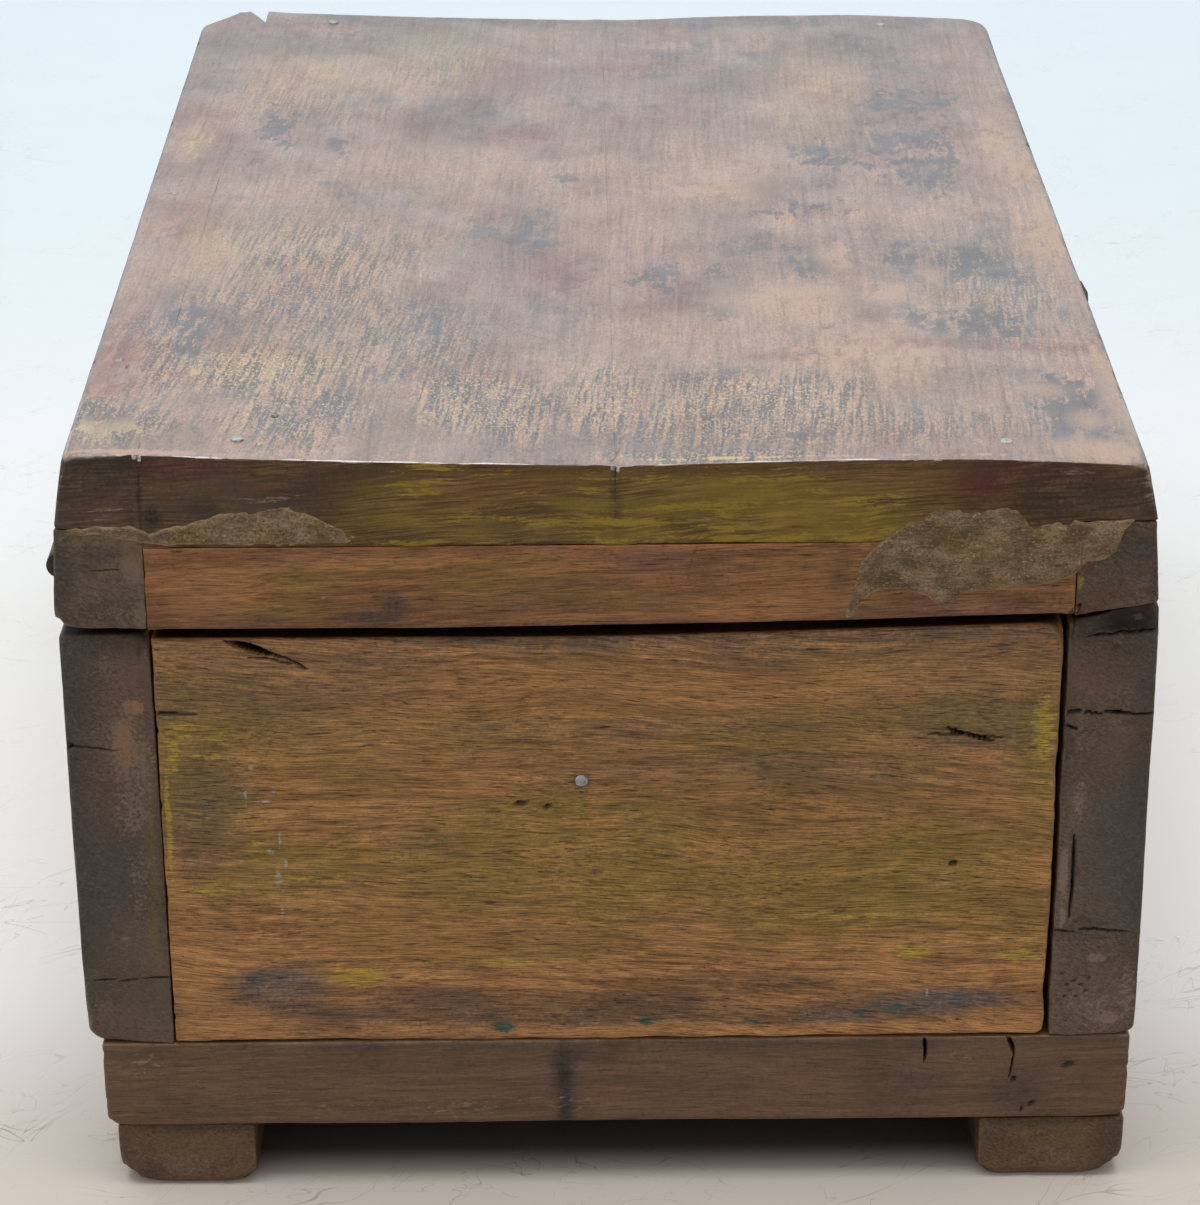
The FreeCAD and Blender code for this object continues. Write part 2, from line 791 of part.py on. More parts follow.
def build():
    """All pieces by name."""
    parts = {}

    corner_nails = corner_nail_places(-1) + corner_nail_places(1)
    bottom_nails = bottom_nail_places()
    runner_nails = runner_nail_places(hinge_runner_left, hinge_runner_right)
    runner_nails += runner_nail_places(front_runner_left, front_runner_right)
    divider_nails = divider_nail_places()
    box_holes = [nail_hole(*place) for place in corner_nails + bottom_nails + runner_nails + divider_nails]

    strip = make_edge_strip()
    left_board = make_left_board()
    right_board = make_right_board()
    lid_nails = lid_nail_places(left_board, right_board) + strip_nail_places(strip)
    rail_nails = rail_nail_places()
    lid_holes = [nail_hole(*place) for place in lid_nails + rail_nails]

    for name, middle in (("near", -hinge_middle), ("far", hinge_middle)):
        start = middle - hinge_length / 2
        down = Vector(0, 0, -1)
        up = Vector(0, 0, 1)
        box_places = hinge_nail_places(start, hinge_side_top + leaf_thickness)
        lid_places = hinge_nail_places(start, hinge_rail_bottom - leaf_thickness)
        parts[name + "_hinge_box_leaf"] = leaf(start, hinge_side_top, 0, box_places, down)
        parts[name + "_hinge_lid_leaf"] = leaf(start, hinge_rail_bottom - leaf_thickness, 1, lid_places, up)
        parts[name + "_hinge_pin"] = make_pin(start)
        parts[name + "_hinge_box_nails"] = Part.makeCompound([hinge_nail(at, down) for at in box_places])
        parts[name + "_hinge_lid_nails"] = Part.makeCompound([hinge_nail(at, up) for at in lid_places])
        box_holes += [hinge_nail_hole(at, down) for at in box_places]
        lid_holes += [hinge_nail_hole(at, up) for at in lid_places]

    parts["latch_hook"] = make_hook()
    front = box_half_width
    stud_face = front_rail_face(stud_z)
    parts["latch_pivot"] = latch_pin(pivot_radius, pivot_head_radius, pivot_depth, front, pivot_y, pivot_z)
    parts["latch_stud"] = latch_pin(stud_radius, stud_head_radius, stud_depth, stud_face, stud_y, stud_z)
    box_holes.append(latch_pin_hole(pivot_radius, pivot_depth, front, pivot_y, pivot_z))
    lid_holes.append(latch_pin_hole(stud_radius, stud_depth, stud_face, stud_y, stud_z))

    parts["hinge_side_board"] = bored(make_hinge_side_board(), box_holes)
    parts["front_side_board"] = bored(make_front_side_board(), box_holes)
    parts["near_end_board"] = bored(make_end_board(), box_holes)
    parts["far_end_board"] = bored(mirrored_far(make_end_board()), box_holes)
    parts["divider"] = bored(make_divider(), box_holes)
    parts["bottom_board"] = bored(make_bottom_board(), box_holes)
    hinge_runner = make_runner(hinge_runner_left, hinge_runner_right, runner_outer_round, runner_inner_round)
    front_runner = make_runner(front_runner_left, front_runner_right, runner_inner_round, runner_outer_round)
    parts["hinge_side_runner"] = bored(hinge_runner, box_holes)
    parts["front_side_runner"] = bored(front_runner, box_holes)
    parts["corner_nails"] = driven(corner_nails)
    parts["bottom_nails"] = driven(bottom_nails)
    parts["runner_nails"] = driven(runner_nails)
    parts["divider_nails"] = driven(divider_nails)

    parts["lid_hinge_rail"] = bored(make_hinge_rail(), lid_holes)
    parts["lid_front_rail"] = bored(make_front_rail(), lid_holes)
    parts["lid_near_end_rail"] = bored(make_end_rail(), lid_holes)
    parts["lid_far_end_rail"] = bored(mirrored_far(make_end_rail()), lid_holes)
    parts["lid_edge_strip"] = bored(strip, lid_holes)
    parts["lid_left_board"] = bored(left_board, lid_holes)
    parts["lid_right_board"] = bored(right_board, lid_holes)
    parts["lid_top_nails"] = driven(lid_nails)
    parts["lid_rail_nails"] = driven(rail_nails)
    return parts


os.makedirs("parts", exist_ok=True)
for node, shape in build().items():
    shape.exportStep("parts/" + node + ".step")
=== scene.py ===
import math

import bpy
import numpy as np
from mathutils import Matrix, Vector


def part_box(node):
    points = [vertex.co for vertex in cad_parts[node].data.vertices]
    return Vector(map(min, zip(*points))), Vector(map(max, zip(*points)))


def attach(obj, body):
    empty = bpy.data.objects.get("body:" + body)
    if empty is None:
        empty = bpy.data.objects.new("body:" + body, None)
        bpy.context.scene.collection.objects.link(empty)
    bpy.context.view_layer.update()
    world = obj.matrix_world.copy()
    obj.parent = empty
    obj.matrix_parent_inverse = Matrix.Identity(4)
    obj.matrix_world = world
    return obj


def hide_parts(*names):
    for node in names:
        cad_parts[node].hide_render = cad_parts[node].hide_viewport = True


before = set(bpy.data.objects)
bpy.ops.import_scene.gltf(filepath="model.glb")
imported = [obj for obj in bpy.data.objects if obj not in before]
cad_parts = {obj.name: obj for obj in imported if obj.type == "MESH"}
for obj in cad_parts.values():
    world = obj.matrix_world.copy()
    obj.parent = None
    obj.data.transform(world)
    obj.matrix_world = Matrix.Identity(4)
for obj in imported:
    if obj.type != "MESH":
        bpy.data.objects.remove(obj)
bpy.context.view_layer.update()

bl_info = {
    "name": "Old Candle Box",
    "version": (1, 0, 0),
    "blender": (4, 5, 0),
    "location": "3D View > Sidebar > Candle Box",
    "description": "Worn boards, old paint and iron for a small hinged candle box",
    "category": "Object",
}

# All lengths in this file are millimetres, and a mesh is scaled to metres when it is made.
MM = 0.001


# Settings that a user would change

class CandleBoxWear(bpy.types.PropertyGroup):
    """How worn the boards are."""
    edge_round: bpy.props.FloatProperty(
        name="Edge rounding", description="Radius of an ordinary worn edge",
        default=0.0007, min=0.0002, max=0.003, unit="LENGTH")
    crack_depth: bpy.props.FloatProperty(
        name="Crack depth", description="Depth of an open crack in an end",
        default=0.0030, min=0, max=0.006, unit="LENGTH")
    pit_depth: bpy.props.FloatProperty(
        name="Pit depth", description="Depth of the pits in end grain",
        default=0.00035, min=0, max=0.001, unit="LENGTH")
    waviness: bpy.props.FloatProperty(
        name="Waviness", description="How far a flat face has moved in and out with age",
        default=0.00022, min=0, max=0.001, unit="LENGTH")


def colour(name, description, red, green, blue):
    """Colour setting with its default in linear light."""
    return bpy.props.FloatVectorProperty(
        name=name, description=description, subtype="COLOR", size=3, min=0, max=1,
        default=(red, green, blue))


class CandleBoxColours(bpy.types.PropertyGroup):
    """Colours of the wood, the paint on it and the iron."""
    panel_brown: colour("Panel brown", "Wood of the end boards", 0.335, 0.165, 0.060)
    side_brown: colour("Side brown", "Long faces of the long boards", 0.150, 0.092, 0.060)
    side_end: colour("Side end grain", "End grain of the long boards", 0.178, 0.126, 0.090)
    runner_end: colour("Runner end grain", "End grain of the runners", 0.185, 0.110, 0.060)
    lid_end: colour("Lid end grain", "End grain of the lid's top boards", 0.150, 0.082, 0.036)
    base_brown: colour("Base brown", "Wood of the bottom board and runners", 0.135, 0.076, 0.043)
    rail_brown: colour("Rail brown", "Wood of the lid's end rails", 0.225, 0.098, 0.036)
    lid_brown: colour("Lid brown", "Rubbed wood of the lid's top", 0.345, 0.238, 0.195)
    lid_tan: colour("Lid tan", "Wood rubbed bare on the lid's top", 0.500, 0.320, 0.215)
    lid_slate: colour("Lid slate", "Blue-grey paint on the lid's top", 0.110, 0.108, 0.120)
    lid_red: colour("Lid red", "Red paint on the lid's top", 0.240, 0.090, 0.080)
    inner_brown: colour("Inner brown", "Bare wood inside the box", 0.200, 0.118, 0.062)
    olive: colour("Olive wash", "Thin old paint on the ends", 0.205, 0.148, 0.026)
    yellow: colour("Yellow paint", "Thicker remains of yellow paint", 0.360, 0.250, 0.036)
    ochre: colour("Ochre flecks", "Yellow paint left in the lid's grain", 0.660, 0.480, 0.220)
    tan: colour("Tan wood", "Wood rubbed bare on the outer faces", 0.570, 0.405, 0.310)
    soot: colour("Soot", "Dark grime on the wood", 0.040, 0.036, 0.034)
    slate: colour("Slate paint", "Blue-grey paint on the end boards", 0.185, 0.185, 0.210)
    red: colour("Red paint", "Traces of red paint", 0.325, 0.155, 0.150)
    worn_red: colour("Worn red", "Red paint rubbed into brown wood", 0.170, 0.088, 0.060)
    wine: colour("Wine red", "Red paint on the lid's ends", 0.105, 0.030, 0.034)
    grime: colour("Grime", "Grey dirt on end grain", 0.085, 0.078, 0.074)
    teal: colour("Teal paint", "Traces of green-blue paint", 0.020, 0.085, 0.070)
    filler: colour("Filler", "Crusty old filler on the lid's ends", 0.240, 0.165, 0.098)
    iron: colour("Iron", "Brown oxide on the iron", 0.085, 0.062, 0.050)
    nail_grey: colour("Nail grey", "Rubbed nail heads", 0.420, 0.420, 0.430)
    # Painted shade: the darker, warmer floor in front of the box.
    floor_near_shade: colour("Floor, near", "Floor in front of the box", 0.690, 0.625, 0.560)
    floor_middle: colour("Floor, middle", "Floor beside the box", 1.000, 1.000, 0.985)
    floor_far: colour("Floor, far", "Floor behind the box", 0.830, 0.915, 0.965)


class CandleBoxStudio(bpy.types.PropertyGroup):
    """Camera and light."""
    lens: bpy.props.FloatProperty(
        name="Lens", description="Focal length on a 36 mm wide frame, in millimetres",
        default=108.321, min=20, max=300)
    pitch: bpy.props.FloatProperty(
        name="Pitch", description="How far the camera looks down",
        default=math.radians(23.936), subtype="ANGLE")
    yaw: bpy.props.FloatProperty(
        name="Yaw", description="How far the camera looks towards the front",
        default=math.radians(0.268), subtype="ANGLE")
    roll: bpy.props.FloatProperty(
        name="Roll", description="How far the camera leans",
        default=math.radians(-0.393), subtype="ANGLE")
    place: bpy.props.FloatVectorProperty(
        name="Place", description="Where the camera stands", subtype="TRANSLATION", size=3,
        default=(-0.004444, -0.751794, 0.390189))
    sky: bpy.props.FloatProperty(
        name="Room light", description="Strength of the white light from all round",
        default=0.62, min=0, max=2)
    softbox: bpy.props.FloatProperty(
        name="Softbox", description="Power of the large lamp overhead, in watts",
        default=11.0, min=0, max=200)


def wear():
    """The wear settings of the scene."""
    return bpy.context.scene.candle_box_wear


def colours():
    """The colour settings of the scene."""
    return bpy.context.scene.candle_box_colours


# Random fields and marks, each worked out for all points at once

# Cells along each side of the lattice of random values, after which they repeat
LATTICE = 32


def cloud(points, size, seed, octaves=3):
    """Smooth random field from -1 to 1 at each point.

    Random values on a lattice with cells of that size are blended between the cell's corners,
    first along Z, then along Y and X. Each further octave adds the same field at half the size
    and half the strength.
    """
    table = np.random.default_rng(seed).uniform(-1, 1, LATTICE ** 3)
    total = np.zeros(len(points))
    for octave in range(octaves):
        place = points / np.asarray(size, float) * 2 ** octave + 7.7 * octave
        cell = np.floor(place)
        share = place - cell
        share = (share * share * (3 - 2 * share)).T
        low = cell.astype(np.int64).T % LATTICE
        high = (low + 1) % LATTICE
        planes = []
        for i in (low[0], high[0]):
            lines = []
            for j in (low[1], high[1]):
                row = (i * LATTICE + j) * LATTICE
                start = table[row + low[2]]
                lines.append(start + (table[row + high[2]] - start) * share[2])
            planes.append(lines[0] + (lines[1] - lines[0]) * share[1])
        total += (planes[0] + (planes[1] - planes[0]) * share[0]) / 2 ** octave
    return total / (2 - 2.0 ** (1 - octaves))


def wander(along, size, seed):
    """Smooth random line from -1 to 1, as a function of the distance along it."""
    return cloud(np.stack([along, 0 * along, 0 * along], axis=1), size, seed)


def eased(value, low, high):
    """Zero up to low, one from high on, and a smooth step between."""
    share = np.clip((value - low) / (high - low), 0, 1)
    return share * share * (3 - 2 * share)


def ramp(value, start, length):
    """Zero up to the start, and from there an even rise to one over the length."""
    return np.clip((value - start) / length, 0, 1)


def groove(u, v, start, end, width, depth, bend, seed):
    """Depth of a crack from start to end in the plane of u and v.

    Across, it is a parabola as wide as width. Along, it wanders by bend and narrows to a point
    at both ends.
    """
    run_u, run_v = end[0] - start[0], end[1] - start[1]
    length = math.hypot(run_u, run_v)
    along = ((u - start[0]) * run_u + (v - start[1]) * run_v) / length
    across = ((v - start[1]) * run_u - (u - start[0]) * run_v) / length
    share = np.clip(along / length, 0, 1)
    half_width = width / 2 * np.sqrt(4 * share * (1 - share)) + 0.02
    off = (across - bend * wander(along, 4.0, seed)) / half_width
    inside = (along > 0) & (along < length)
    return depth * inside * np.clip(1 - off * off, 0, 1)


def stain(u, v, roam, marks):
    """Strength of the strongest of several stains at each point.

    Each mark is (u, v, half length along u, half length along v, strength). A stain is at its
    strength inside its oval and fades out over the same distance again. The point is first
    moved by roam, a random field of two numbers, as far as half the stain's shorter side.
    """
    total = np.zeros(len(u))
    for middle_u, middle_v, reach_u, reach_v, strength in marks:
        stray = 0.75 * min(reach_u, reach_v)
        off_u = (u + stray * roam[0] - middle_u) / reach_u
        off_v = (v + stray * roam[1] - middle_v) / reach_v
        total = np.maximum(total, strength * (1 - eased(np.hypot(off_u, off_v), 0.3, 1.7)))
    return total


# Boards

# The two axes in which places on a face are given
PLANES = {"near": [0, 2], "far": [0, 2], "up": [0, 1]}

# Width, depth, bend and seed of a crack that doesn't say them
USUAL_CRACK = (0.7, 1.0, 0.35, 0)

ALONG_X, ALONG_Y = 0, 1


def along_grain(axis, across, along):
    """Size of a pattern that is drawn out along the grain."""
    size = [across] * 3
    size[axis] = along
    return size


def stops(low, high, step, fine):
    """Places from low to high, closer together near both ends and near the fine places.

    The local step grows evenly with the distance from an end or a fine place up to step. The
    places are where the running sum of one over the local step passes whole numbers.
    """
    samples, end_step, end_growth, fine_growth = 4001, 0.16, 0.22, 0.25
    line = np.linspace(low, high, samples)
    local = np.minimum(end_step + end_growth * np.minimum(line - low, high - line), step)
    for middle, reach, fine_step in fine:
        off = np.maximum(abs(line - middle) - reach, 0)
        local = np.minimum(local, fine_step + fine_growth * off)
    sums = np.concatenate([[0], np.cumsum(2 / (local[1:] + local[:-1]) * np.diff(line))])
    count = math.ceil(sums[-1])
    return np.interp(np.linspace(0, sums[-1], count + 1), sums, line)


def block_skin(places):
    """Points and quads of a block's six sides, joined along its edges.

    Each side is a grid over two of the three lists of places, at the first or last of the third.
    """
    counts = tuple(len(line) for line in places)
    number = np.arange(math.prod(counts)).reshape(counts)
    sides = []
    for axis in range(3):
        for end in (0, -1):
            sheet = np.take(number, end, axis)
            ring = (sheet[:-1, :-1], sheet[1:, :-1], sheet[1:, 1:], sheet[:-1, 1:])
            quads = np.stack(ring, axis=-1).reshape(-1, 4)
            inside_out = (end == 0) != (axis == 1)
            sides.append(quads[:, ::-1] if inside_out else quads)
    used, quads = np.unique(np.concatenate(sides), return_inverse=True)
    where = np.unravel_index(used, counts)
    points = np.stack([line[i] for line, i in zip(places, where)], axis=1)
    return points, quads.reshape(-1, 4)


def gap_to(points, low, high, sides):
    """Distance from each point to the block's edge or corner on the given sides.

    sides has -1, 0 or 1 for each axis, and 0 leaves the axis out.
    """
    total = np.zeros(len(points))
    for axis, side in enumerate(sides):
        if side:
            gap = high[axis] - points[:, axis] if side > 0 else points[:, axis] - low[axis]
            total += gap * gap
    return np.sqrt(total)


class Board:
    """Skin of one worn board, in millimetres.

    The block of the CAD node is rounded by setting each point at the local radius from the
    block shrunk by that radius. The radius grows near the worn edges, as a bell curve of the
    distance to them, and varies a little at random.
    """

    def __init__(self, node, steps, seed, worn=(), fine=((), (), ()), grow=None, hold=()):
        self.node = node
        low, high = (np.array(corner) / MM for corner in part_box(node))
        if grow:
            low, high = low - grow[0], high + grow[1]
        self.low, self.high, self.seed, self.hold = low, high, seed, hold
        places = [stops(low[i], high[i], steps[i], fine[i]) for i in range(3)]
        block, self.quads = block_skin(places)
        radius = wear().edge_round / MM * (1 + 0.45 * cloud(block, 9.0, seed))
        for sides, reach, extra in worn:
            gap = gap_to(block, low, high, sides) / reach
            radius = radius + extra * np.exp(-gap * gap)
        radius = np.clip(radius, 0.04, 0.45 * (high - low).min())[:, None]
        inner = np.clip(block, low + radius, high - radius)
        away = block - inner
        self.out = away / np.linalg.norm(away, axis=1, keepdims=True)
        self.at = inner + self.out * radius
        self.share = (self.at - low) / (high - low)
        self.rub = 1 - eased(abs(self.out).max(axis=1), 0.80, 0.99)
        # Painted shade, near-black in the shader: cracks, pits, the front hollow and the gap under the
        # lid.
        self.painted_shade = np.zeros(len(block))
        self.flecks = np.zeros(len(block))
        self.layers = {"wash": np.zeros((len(block), 4)), "paint": np.zeros((len(block), 4))}
        self.roam = (cloud(block, 14.0, 7, 4), cloud(block, 14.0, 8, 4))
        self.facing = {
            "near": np.clip(-self.out[:, 1], 0, 1), "far": np.clip(self.out[:, 1], 0, 1),
            "hinge": np.clip(-self.out[:, 0], 0, 1), "front": np.clip(self.out[:, 0], 0, 1),
            "down": np.clip(-self.out[:, 2], 0, 1), "up": np.clip(self.out[:, 2], 0, 1),
        }

    def xyz(self):
        """The points' coordinates, which follow later moves."""
        return self.at.T

    def move(self, axis, by):
        """Moves every point along one axis by an amount worked out for it."""
        self.at[:, axis] += by

    def press(self, depth):
        """Presses every point inwards by an amount worked out for it, but not on held sides."""
        step = self.out * depth[:, None]
        for axis, side in self.hold:
            step[:, axis] *= 1 - np.clip(side * self.out[:, axis], 0, 1)
        self.at -= step

    def weather(self, grain_axis, wave_seed=None):
        """Slow waves over the whole board, fine ridges along the grain and pits in the ends."""
        settings = wear()
        ridge = along_grain(grain_axis, 1.6, 30.0)
        end = abs(self.out[:, grain_axis])
        wave = settings.waviness / MM * cloud(self.at, 38.0, wave_seed or self.seed + 1)
        fine = 0.05 * cloud(self.at, ridge, self.seed + 2) * (1 - end)
        pits = eased(cloud(self.at, 1.9, self.seed + 3), 0.15, 0.7)
        nicks = 0.7 * self.rub * eased(cloud(self.at, 5.0, self.seed + 4), 0.25, 0.8)
        self.end = end
        self.press(wave + fine + settings.pit_depth / MM * pits * end + nicks)

    def crack(self, face, *cracks):
        """Opens cracks in one face, and paints near-black shade into them.

        Each is where it starts and ends in the face's plane, and then as far as they differ from
        the usual ones its width, depth, bend and seed. The depth is a share of the crack depth
        setting.
        """
        for start_u, start_v, end_u, end_v, *form in cracks:
            width, depth, bend, seed = (*form, *USUAL_CRACK[len(form):])
            u, v = self.at[:, PLANES[face]].T
            cut = groove(u, v, (start_u, start_v), (end_u, end_v), width, depth, bend, self.seed + seed)
            cut = cut * eased(self.facing[face], 0.3, 0.8)
            self.press(cut * wear().crack_depth / MM)
            self.painted_shade = np.maximum(self.painted_shade, eased(cut, 0.02, 0.35))

    def worm_holes(self, face, holes, length, rise, width, depth, bend, seed):
        """Presses short pits at the given places of a face."""
        self.crack(face, *(
            (u - length / 2, v, u + length / 2, v + rise, width, depth, bend, seed + count)
            for count, (u, v) in enumerate(holes)))

    def spread(self, layer, tint, share):
        """Covers the board with one colour by a share worked out for each point.

        The wash layer is soft, and the paint layer breaks up where it fades. The new colour
        lies over what the layer already has.
        """
        under = self.layers[layer]
        left = under[:, 3] * (1 - share)
        total = share + left
        mixed = share[:, None] * np.array(tint) + left[:, None] * under[:, :3]
        known = np.maximum(total, 1e-6)[:, None]
        under[:, :3] = np.where(total[:, None] > 0, mixed / known, under[:, :3])
        under[:, 3] = total

    def shown(self, face):
        """One where a point faces that way, and zero where it faces another."""
        return eased(self.facing[face], 0.2, 0.7)

    def marked(self, face, marks):
        """Strength of stains on one face at each point."""
        u, v = self.at[:, PLANES[face]].T
        return stain(u, v, self.roam, marks) * self.shown(face)

    def lay(self, layer, face, tint, marks):
        """Lays stains of one colour on one face."""
        self.spread(layer, tint, self.marked(face, marks))

    def fleck(self, face, marks):
        """Flecks of old paint, as strong as the stains."""
        self.flecks = np.maximum(self.flecks, self.marked(face, marks))

    def paint_gap_shade(self):
        """Paints shade on the upper edge, where the lid shuts on the box, but not on its outer arris.
        """
        inset = np.minimum(self.at[:, :2] - self.low[:2], self.high[:2] - self.at[:, :2]).min(axis=1)
        self.painted_shade = np.maximum(self.painted_shade, 0.93 * self.facing["up"] * eased(inset, 0.2, 1.2))

    def finish(self, body, slot, material, inner=None):
        """Makes the object, which rides on its body and stands for its CAD node.

        The face named inner is bare wood.
        """
        bare = eased(self.facing[inner], 0.3, 0.8) if inner else 0 * self.painted_shade
        piece = mesh_object(self.node + "_worn", self.at, self.quads, material)
        for name, values in self.layers.items():
            store(piece, name, values)
        store(piece, "wear", np.stack([self.painted_shade, self.rub, self.end, bare], axis=1))
        store(piece, "side", np.stack([self.facing["up"], self.flecks, bare, bare], axis=1))
        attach(piece, body)
        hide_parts(self.node)


def mesh_object(name, points, quads, material):
    """Object at the origin from points in millimetres and quads."""
    mesh = bpy.data.meshes.new(name)
    mesh.vertices.add(len(points))
    mesh.vertices.foreach_set("co", (points * MM).ravel())
    mesh.loops.add(quads.size)
    mesh.loops.foreach_set("vertex_index", quads.ravel())
    mesh.polygons.add(len(quads))
    mesh.polygons.foreach_set("loop_start", np.arange(0, quads.size, 4))
    mesh.polygons.foreach_set("use_smooth", np.ones(len(quads), bool))
    mesh.update(calc_edges=True)
    mesh.validate()
    mesh.materials.append(material)
    piece = bpy.data.objects.new(name, mesh)
    bpy.context.scene.collection.objects.link(piece)
    return piece


def store(piece, name, values):
    """Keeps four values for each point of a mesh as a colour attribute."""
    attribute = piece.data.color_attributes.new(name, "FLOAT_COLOR", "POINT")
    attribute.data.foreach_set("color", np.clip(values, 0, 1).astype(np.float32).ravel())


# How far one step of a pattern's shift moves it
SHIFT_STEP = 37


# Finishes

class Finish:
    """One procedural finish, whose nodes are added one after another.

    Sizes of patterns are given in millimetres.
    """

    def __init__(self, name, roughness, specular):
        self.material = bpy.data.materials.new(name)
        self.material.use_nodes = True
        self.tree = self.material.node_tree
        self.tree.nodes.clear()
        self.shader = self.tree.nodes.new("ShaderNodeBsdfPrincipled")
        self.set("Roughness", roughness)
        self.set("Specular IOR Level", specular)
        output = self.tree.nodes.new("ShaderNodeOutputMaterial")
        self.join(self.shader.outputs["BSDF"], output.inputs["Surface"])
        self.place = self.tree.nodes.new("ShaderNodeTexCoord").outputs["Object"]

    def join(self, value, socket):
        """Links a socket, or sets a plain value on it."""
        if isinstance(value, bpy.types.NodeSocket):
            self.tree.links.new(value, socket)
        elif socket.type == "RGBA" and len(value) == 3:
            socket.default_value = (*value, 1)
        else:
            socket.default_value = value

    def set(self, socket, value):
        """Links or sets one of the shader's own sockets."""
        self.join(value, self.shader.inputs[socket])

    def stretched(self, size, turn=(0, 0, 0), shift=(0, 0, 0)):
        """The object's own coordinates, in steps of size, after a turn and a shift."""
        mapping = self.tree.nodes.new("ShaderNodeMapping")
        mapping.vector_type = "TEXTURE"
        self.join(self.place, mapping.inputs["Vector"])
        mapping.inputs["Scale"].default_value = [MM * length for length in size]
        mapping.inputs["Rotation"].default_value = turn
        mapping.inputs["Location"].default_value = [SHIFT_STEP * MM * steps for steps in shift]
        return mapping.outputs["Vector"]

    def noise(self, size, detail=4.0, rough=0.55, distortion=0.0, turn=(0, 0, 0), shift=(0, 0, 0),
              output="Fac"):
        """Random pattern with cells of that size."""
        node = self.tree.nodes.new("ShaderNodeTexNoise")
        self.join(self.stretched(size, turn, shift), node.inputs["Vector"])
        form = {"Scale": 1, "Detail": detail, "Roughness": rough, "Distortion": distortion}
        for name, value in form.items():
            self.join(value, node.inputs[name])
        return node.outputs[output]

    def ease(self, value, low, high, to_low=0.0, to_high=1.0):
        """Smooth step of a value between low and high."""
        node = self.tree.nodes.new("ShaderNodeMapRange")
        node.interpolation_type = "SMOOTHSTEP"
        for socket, amount in zip(node.inputs, (value, low, high, to_low, to_high)):
            self.join(amount, socket)
        return node.outputs["Result"]

    def math(self, operation, a, b):
        """Two values joined by a named operation."""
        node = self.tree.nodes.new("ShaderNodeMath")
        node.operation = operation
        self.join(a, node.inputs[0])
        self.join(b, node.inputs[1])
        return node.outputs["Value"]

    def times(self, a, b):
        """The product of two values."""
        return self.math("MULTIPLY", a, b)

    def plus(self, a, b):
        """The sum of two values."""
        return self.math("ADD", a, b)

    def blend(self, share, under, over, mode="MIX"):
        """One colour over another."""
        node = self.tree.nodes.new("ShaderNodeMix")
        node.data_type = "RGBA"
        node.blend_type = mode
        self.join(share, node.inputs[0])
        self.join(under, node.inputs[6])
        self.join(over, node.inputs[7])
        return node.outputs[2]

    def between(self, dark, light, pattern, low=0.38, high=0.62):
        """Dark where a pattern is low, light where it is high."""
        return self.blend(self.ease(pattern, low, high), dark, light)

    def over(self, shade, tint, pattern, low, high, most=1.0, mode="MIX"):
        """A colour with a tint over it: none where the pattern is low, and most where it is high."""
        return self.blend(self.ease(pattern, low, high, 0.0, most), shade, tint, mode)

    def attribute(self, name):
        """Colour and fourth channel of a colour attribute."""
        node = self.tree.nodes.new("ShaderNodeAttribute")
        node.attribute_name = name
        return node.outputs["Color"], node.outputs["Alpha"]

    def channels(self, name):
        """The four channels of a colour attribute."""
        tint, last = self.attribute(name)
        parts = self.tree.nodes.new("ShaderNodeSeparateColor")
        self.join(tint, parts.inputs[0])
        return (*parts.outputs, last)

    def sway(self, size, reach):
        """Moves the coordinates of later patterns to and fro, so that their lines wander."""
        moved = self.tree.nodes.new("ShaderNodeVectorMath")
        moved.operation = "MULTIPLY_ADD"
        self.join(self.noise(size, 2, 0.5, output="Color"), moved.inputs[0])
        moved.inputs[1].default_value = [MM * length for length in reach]
        self.join(self.place, moved.inputs[2])
        self.place = moved.outputs["Vector"]

    def ragged(self, layer, pattern, spread=0.9, low=0.45, high=0.62):
        """Share of a paint layer that is left, with a broken edge where the layer fades."""
        return self.ease(self.plus(layer, self.times(self.plus(pattern, -0.5), spread)), low, high)

    def bump(self, height, depth):
        """Bump of the given depth in millimetres."""
        node = self.tree.nodes.new("ShaderNodeBump")
        node.inputs["Strength"].default_value = 1
        node.inputs["Distance"].default_value = depth * MM
        self.join(height, node.inputs["Height"])
        self.set("Normal", node.outputs["Normal"])

    def done(self, tint):
        """The material, once its colour is worked out."""
        self.set("Base Color", tint)
        return self.material


def scaled(tint, share):
    """A lighter or darker version of a colour."""
    return tuple(min(1, part * share) for part in tint)


